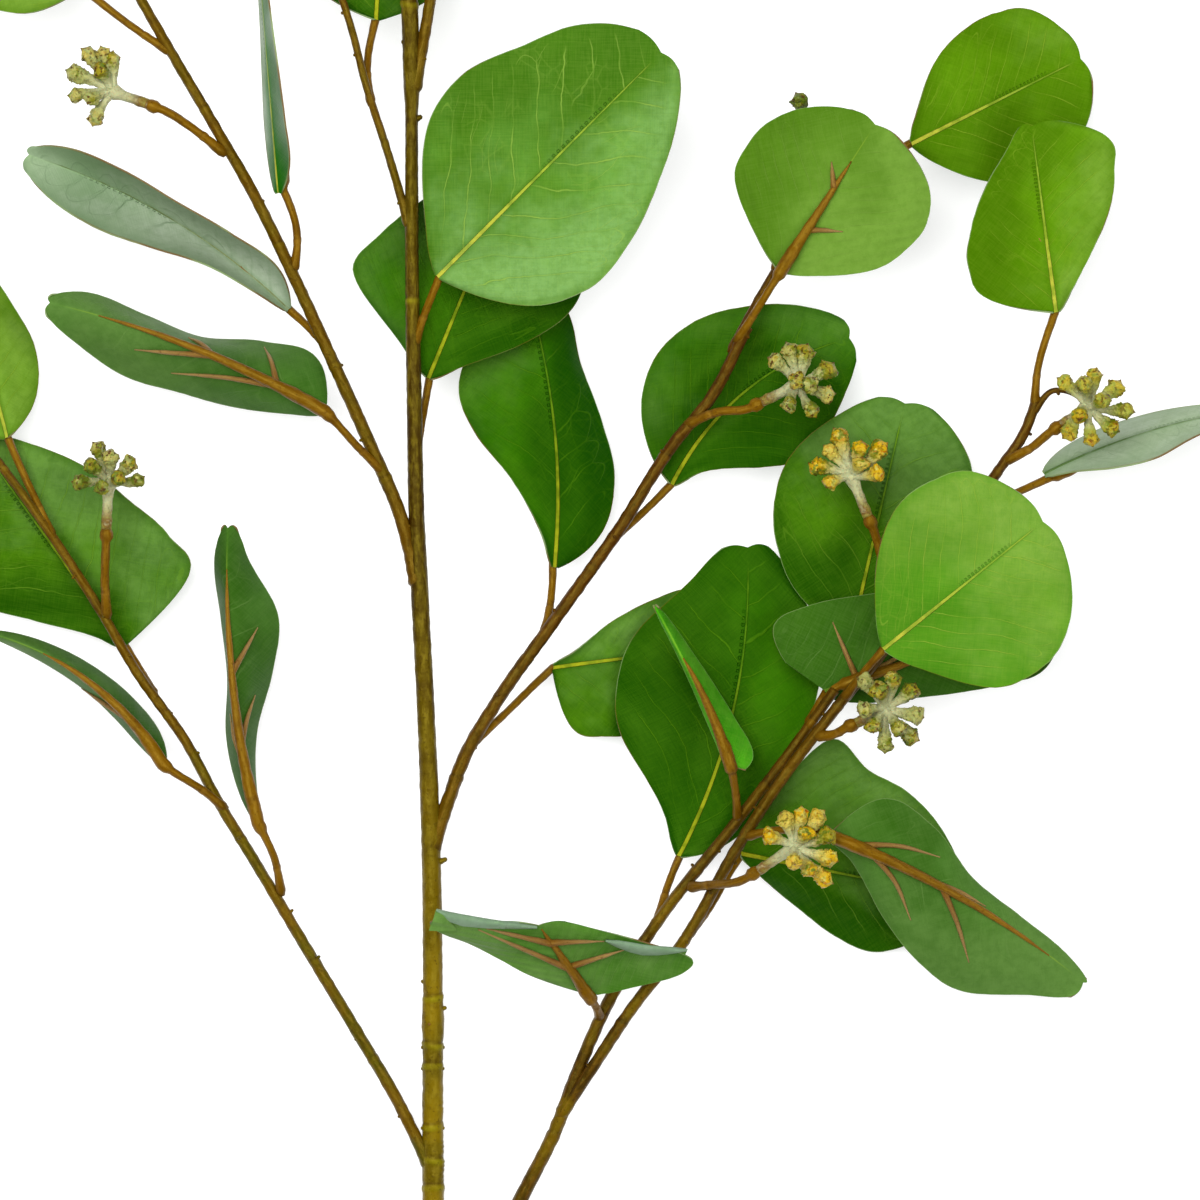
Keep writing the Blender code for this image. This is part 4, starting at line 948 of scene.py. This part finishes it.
class Shader:
    """Short calls that add nodes to one material and join them."""

    def __init__(self, name):
        self.material = bpy.data.materials.new(name)
        self.material.use_nodes = True
        self.tree = self.material.node_tree
        self.surface = self.tree.nodes["Principled BSDF"]
        self.where = self.add("TexCoord", "Object", {})

    def put(self, socket, value):
        """Joins a value to a socket, or sets a number or a colour. One of three parts is a tint."""
        if isinstance(value, Value):
            self.tree.links.new(value.socket, socket)
        elif value is not None:
            is_tint = isinstance(value, tuple) and len(value) == 3
            socket.default_value = linear(value) if is_tint else value

    def add(self, kind, output, inputs, **settings):
        """Adds a node, and gives one of its outputs."""
        node = self.tree.nodes.new("ShaderNode" + kind)
        for name, value in settings.items():
            setattr(node, name, value)
        for name, value in inputs.items():
            self.put(node.inputs[name], value)
        return Value(self, node.outputs[output])

    def math(self, operation, a, b=None):
        return self.add("Math", 0, {0: a, 1: b}, operation=operation)

    def fade(self, value, start, end, low=0.0, high=1.0):
        """low up to start, high from end on, and smooth between."""
        inputs = {"Value": value, "From Min": start, "From Max": end, "To Min": low, "To Max": high}
        return self.add("MapRange", "Result", inputs, interpolation_type="SMOOTHSTEP")

    def fall(self, value, start, end, high=1.0):
        """high up to start, nothing from end on, and smooth between."""
        return self.fade(value, start, end, high, 0.0)

    def mix(self, share, a, b):
        return self.add("Mix", 2, {0: share, 6: a, 7: b}, data_type="RGBA")

    def layers(self, colour, *coats):
        """A colour with others laid over it, each as strongly as its share says."""
        for share, coat in coats:
            colour = self.mix(share, colour, coat)
        return colour

    def split(self, vector):
        """The first two numbers of a vector."""
        x = self.add("SeparateXYZ", "X", {"Vector": vector})
        return x, Value(self, x.socket.node.outputs["Y"])

    def map(self, name):
        """The two numbers of a map of the mesh."""
        return self.split(self.add("UVMap", "UV", {}, uv_map=name))

    def join(self, x, y, z=0.0):
        return self.add("CombineXYZ", 0, {"X": x, "Y": y, "Z": z})

    def noise(self, scale, detail=2.0, roughness=0.5, where=None):
        """Noise of this many waves a metre, from 0 to 1."""
        inputs = {"Vector": where or self.where, "Scale": scale, "Detail": detail, "Roughness": roughness}
        return self.add("TexNoise", "Fac", inputs)

    def patches(self, scale, start, end, low=0.0, high=1.0, detail=2.0, roughness=0.5):
        """Patches of this many waves a metre, where noise passes from low to high."""
        return self.fade(self.noise(scale, detail, roughness), start, end, low, high)

    def bump(self, height, distance):
        relief = self.add("Bump", "Normal", {"Height": height, "Distance": distance, "Strength": 1.0})
        self.put(self.surface.inputs["Normal"], relief)

    def finish(self, colour, roughness, **numbers):
        """Sets the colour, the roughness and other numbers of the surface."""
        self.put(self.surface.inputs["Base Color"], colour)
        self.put(self.surface.inputs["Roughness"], roughness)
        for name, value in numbers.items():
            self.surface.inputs[name.replace("_", " ")].default_value = value
        return self.material


def vein_masks(s):
    """How strongly each kind of printed vein shows, and the distance between side veins."""
    vein, edge = s.map("Vein")
    wander = (s.noise(42.0, 1.0) - 0.5) * 1.5
    phase = vein * 20.0 + (wander + (s.noise(300.0, 1.0) - 0.5) * 0.14)
    gap = s.math("PINGPONG", phase, 0.5)
    half_gap = s.math("PINGPONG", phase + edge * 4.0 + wander * 1.5 + 0.5, 0.5)
    inner = s.fade(edge, 0.03, 0.09)
    rare = s.patches(50.0, 0.5, 0.6, detail=1.0)
    loop_at = wander * 0.02 + 0.06 - s.math("SINE", gap * math.pi) * 0.035
    cells = s.add("TexVoronoi", "Distance", {"Vector": s.where, "Scale": 150.0}, feature="DISTANCE_TO_EDGE")
    lines = s.fall(gap, 0.012, 0.04) * (inner * s.patches(75.0, 0.36, 0.62, 0.2))
    second = s.fall(half_gap, 0.01, 0.03) * (rare * inner)
    loops = s.fall(s.math("ABSOLUTE", edge - loop_at), 0.001, 0.003) * rare
    net = s.fall(cells, 0.01, 0.05) * rare
    for finer, strength in ((second, 0.45), (loops, 0.5), (net, 0.16)):
        lines = s.math("MAXIMUM", lines, finer * strength)
    return lines, gap, edge


def threads(s):
    """The fine weave of the leaf cloth, which runs at a slant to the rib."""
    x, y = s.map("Thread")
    warp = s.noise(1.0, 1.0, where=s.join(x * 330.0, y * 22.0))
    weft = s.noise(1.0, 1.0, where=s.join(x * 22.0, y * 330.0))
    return (warp + weft) * 0.5


def midrib(s, start, end):
    """How strongly the printed midrib shows, from its half width at both ends, in metres / 10."""
    u, across = s.map("Rib")
    share = s.math("DIVIDE", s.math("ABSOLUTE", across - 0.5), s.fade(u, 0.0, 0.9, start, end))
    return s.fall(share, 0.7, 1.15) * s.fall(u, 0.86, 0.97), u, share


def embossed_beads(s):
    """A dotted row pressed in beside the midrib, on the left of its further half."""
    u, across = s.map("Rib")
    row = s.fall(s.math("ABSOLUTE", across - (0.5 - 0.009)), 0.002, 0.0045)
    dots = s.fade(s.math("SINE", u * 300.0), -0.2, 0.5)
    return row * dots * (s.fade(u, 0.45, 0.55) * s.fall(u, 0.75, 0.85))


def leaf_body(s, body, shade, pale):
    """Body colour with darker clouds, partly random tone and partly painted shade, and patches of painted
    sheen, as the map of painted light places them.
    """
    painted_light, seed = s.map("Tone")
    spot = s.add("VectorMath", 0, {0: s.where, 1: s.join(seed, seed, seed)}, operation="ADD")
    clouds = s.noise(26.0, 3.0, 0.55, spot)
    sheen_noise = s.noise(36.0, 4.0, 0.65, spot)
    return s.layers(
        s.mix(s.fade(clouds - painted_light * 0.45, 0.18, 0.44), body, shade),
        (s.fade(sheen_noise + painted_light, 0.78, 1.22, 0.0, 0.9), pale),
        (s.patches(380.0, 0.35, 0.7, 0.0, 0.3, 3.0, 0.7), shade),
    )


def leaf_upper(tint):
    """The printed and coated upper face: satin green with painted sheen and painted shade, lime veins and a
    yellow midrib.
    """
    s = Shader("leaf_upper_" + tint)
    body, shade, pale, line = LEAF_TINTS[tint]
    lines, gap, edge = vein_masks(s)
    weave = threads(s)
    beads = embossed_beads(s)
    rib, u, share = midrib(s, 0.0062, 0.0024)
    yellow = s.mix(s.fade(u, 0.1, 0.7), *MIDRIB_TINTS.get(tint, USUAL_MIDRIB))
    worn = s.patches(220.0, 0.35, 0.6, 0.45)
    hem = s.mix(s.patches(30.0, 0.4, 0.55), *CUT_TINTS[:2])
    colour = s.layers(
        leaf_body(s, body, shade, pale),
        (s.fall(edge, 0.0, 0.035, 0.5), shade),
        # painted shade beside the raised side veins
        (s.fall(gap, 0.02, 0.12, 0.16), shade),
        (s.fade(weave, 0.35, 0.65, 0.0, 0.1), line),
        # the pressed-in dots beside the midrib, darkened as painted shade
        (beads * 0.5, shade),
        (lines * VEINS_SHOW.get(tint, VEINS_USUALLY), line),
        # painted shade beside the raised midrib
        (s.fall(share, 1.2, 4.0, 0.45) * s.fall(u, 0.8, 0.95), shade),
        (rib * worn * 0.95, yellow),
        (s.fall(edge, 0.0008, 0.003, 0.5), hem),
    )
    swell = s.fade(gap, 0.0, 0.5) * 0.15
    s.bump(weave * 0.4 + (swell + lines * 0.3) + (rib * 1.2 - beads), 0.0003)
    rough = s.patches(70.0, 0.3, 0.7, 0.34, 0.5, 3.0)
    return s.finish(colour, rough, Specular_IOR_Level=0.18, Specular_Tint=SATIN_TINT)


def leaf_lower(tint):
    """The matt back: bluish green cloth on which the veins barely show."""
    s = Shader("leaf_lower_" + tint)
    body, shade, pale, line = LEAF_TINTS[tint]
    lines, gap, edge = vein_masks(s)
    weave = threads(s)
    rib, _, _ = midrib(s, 0.0045, 0.0016)
    colour = s.layers(
        leaf_body(s, body, shade, pale),
        (s.fade(weave, 0.35, 0.65, 0.0, 0.14), line),
        (lines * 0.4, line),
        (rib * 0.35, USUAL_MIDRIB[1]),
        (s.fall(edge, 0.0008, 0.0025, 0.4), CUT_TINTS[1]),
    )
    s.bump(weave * 0.5 + lines * 0.25 + s.fade(gap, 0.0, 0.5) * 0.35, 0.0003)
    rough = s.patches(60.0, 0.3, 0.7, 0.5, 0.66, 3.0)
    return s.finish(colour, rough, Specular_IOR_Level=0.15, Specular_Tint=SATIN_TINT)


def leaf_cut():
    """The cut edge: whitish cloth, stained red-brown in places."""
    s = Shader("leaf_cut")
    fibres = s.noise(2500.0)
    stained = s.mix(s.patches(60.0, 0.42, 0.58), *CUT_TINTS[:2])
    s.bump(fibres, 0.0001)
    return s.finish(s.mix(fibres * 0.4, stained, CUT_TINTS[2]), 0.7)


def stem_material(name):
    """Moulded stem: two tones, streaks along it, dark blots, lighter rings, and a soft gloss."""
    low, high, other, dark, fleck, band = STEM_TINTS[name]
    s = Shader(name)
    around, length = s.map("Length")
    ring, groove = s.map("Mark")
    _, up = s.split(s.where)
    streaks = s.noise(2.0, 3.0, 0.6, s.join(around * 5.0, length * 9.0))
    blots = s.noise(190.0, 4.0, 0.65)
    specks = s.noise(1100.0)
    colour = s.layers(
        s.mix(s.fade(up, *CLIMB), low, high),
        (s.patches(55.0, 0.42, 0.6) * s.fade(up, *CLIMB, 1.0, 0.45), other),
        (s.fade(streaks, 0.42, 0.66, 0.0, 0.4), fleck),
        (s.fade(blots, 0.52, 0.68, 0.0, 0.4), dark),
        (ring * 0.6, band),
        (groove * 0.5, dark),
    )
    if name == "stalk":
        colour = s.mix(s.fall(length, 0.0, 0.07, 0.85), colour, STEM_TINTS["branch"][1])
    colour = s.mix(s.fade(specks, 0.62, 0.7, 0.0, 0.5), colour, dark)
    s.bump(streaks * 0.7 + blots * 0.6 + specks * 0.2, 0.0004)
    rough = s.fade(blots, 0.3, 0.7, 0.34, 0.5)
    return s.finish(colour, rough, Specular_IOR_Level=0.3, Specular_Tint=STEM_GLOSS)


def nut_material(tint):
    """Cream at the foot, then green, yellow and orange blotches and brown flecks on the cup."""
    cup, gold, flecks = NUT_TINTS[tint]
    s = Shader("nut_" + tint)
    _, share = s.map("Length")
    olive_kind, gold_kind = s.map("Mark")
    mottle = s.noise(420.0, 3.0, 0.6)
    olive = s.fade(share, 0.35, 0.8, -0.3, 0.0) + olive_kind * 0.3
    gilt = s.fade(share, 0.5, 0.9, 0.0, gold) * s.fade(gold_kind, 0.1, 0.7, 0.35)
    brown = s.patches(850.0, 0.56, 0.63, detail=3.0)
    bark = s.mix(s.fade(mottle, 0.42, 0.6), *PEDUNCLE_TINTS)
    colour = s.layers(
        s.mix(s.fade(share, 0.25, 0.7), NUT_FOOT, cup),
        (s.fade(mottle + olive, 0.55, 0.7, 0.0, 0.9), NUT_OLIVE),
        (s.patches(480.0, 0.42, 0.5) * gilt, NUT_YELLOW),
        (s.patches(600.0, 0.6, 0.68) * gilt, NUT_ORANGE),
        (brown * s.fade(share, 0.4, 0.95, 0.1, flecks), NUT_BROWN),
        (s.fade(share, 0.95, 1.0, 0.0, 0.8), NUT_BROWN),
        (s.fall(share, -0.85, -0.35) * s.fade(mottle, 0.3, 0.5, 0.5), bark),
    )
    s.bump(mottle + brown * -0.4 + s.noise(1500.0) * 0.6, 0.0004)
    rough = s.fade(mottle, 0.3, 0.7, 0.32, 0.5)
    return s.finish(colour, rough, Specular_IOR_Level=0.35, Specular_Tint=NUT_GLOSS,
                    Subsurface_Weight=0.12, Subsurface_Scale=0.002)


def build_materials():
    """The materials by name. A leaf tint is that of an upper face, or of a back."""
    made = {"cut": leaf_cut()}
    for tint in LEAF_TINTS:
        made[tint] = leaf_lower(tint) if tint.startswith("back") else leaf_upper(tint)
    for tint in NUT_TINTS:
        made["nut_" + tint] = nut_material(tint)
    for name in STEM_TINTS:
        made[name] = stem_material(name)
    return made


def build_floor():
    """A plain near-white surface under the spray."""
    mesh = bpy.data.meshes.new("floor")
    corners = [(x * FLOOR_SIZE, y * FLOOR_SIZE, 0) for x, y in ((-1, -1), (1, -1), (1, 1), (-1, 1))]
    mesh.from_pydata(corners, [], [(0, 1, 2, 3)])
    s = Shader("floor_white")
    colour = s.mix(s.noise(30.0), *FLOOR_TINTS)
    glow = {"Emission_Strength": FLOOR_GLOW, "Emission_Color": WHITE}
    mesh.materials.append(s.finish(colour, 0.9, Specular_IOR_Level=0.1, **glow))
    new_object("floor", mesh)


def build_light():
    """The lights and a pale sky."""
    for name, (place, size, power) in LIGHTS.items():
        data = bpy.data.lights.new(name, "AREA")
        data.shape = "DISK"
        data.size = size
        data.energy = power
        light = new_object(name, data)
        light.location = place
        light.rotation_euler = (Vector(LIGHT_AIM) - Vector(place)).to_track_quat("-Z", "Y").to_euler()
        light.visible_camera = False
    world = bpy.data.worlds.new("studio")
    world.use_nodes = True
    sky = world.node_tree.nodes["Background"]
    sky.inputs["Color"].default_value = WHITE
    sky.inputs["Strength"].default_value = SKY_STRENGTH
    bpy.context.scene.world = world
    bpy.context.scene.view_settings.view_transform = "Standard"


def build_camera():
    data = bpy.data.cameras.new("camera")
    data.lens = CAMERA_LENS
    data.clip_end = CAMERA_REACH
    camera = new_object("camera", data)
    camera.location = CAMERA_PLACE
    bpy.context.scene.camera = camera


def build_spray(made):
    """The main stem, the side branches, the leaves and the clusters."""
    main_stem([made["stem"], made["spike"]])
    for number, (name, rod) in enumerate(BRANCHES.items()):
        branch(name, number, rod, [made["twig" if name.startswith("right") else "branch"]])
    for leaf in LEAVES:
        blade(leaf, [made[leaf.tint], made["deep" if leaf.turned else "back"], made["cut"]])
        leaf_carrier(leaf, leaf.number - 1, [made["stalk"], made["spike"]])
    for number, (upper, rows) in enumerate(FOLDS):
        fold(LEAVES[FOLDED - 1], number, upper, rows, made)
    for number, cluster in enumerate(CLUSTERS):
        nut_stalk(cluster, number, [made["stalk"]])
        nut_cluster(cluster, [made["nut_" + cluster.tint]])


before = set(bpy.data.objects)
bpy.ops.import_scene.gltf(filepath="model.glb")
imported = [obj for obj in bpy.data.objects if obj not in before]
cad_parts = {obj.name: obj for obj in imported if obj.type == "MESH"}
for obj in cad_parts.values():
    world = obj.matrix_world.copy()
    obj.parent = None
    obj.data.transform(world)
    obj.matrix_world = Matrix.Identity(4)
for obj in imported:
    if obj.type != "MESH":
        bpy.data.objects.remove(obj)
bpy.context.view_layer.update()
build_camera()
build_spray(build_materials())
build_floor()
build_light()
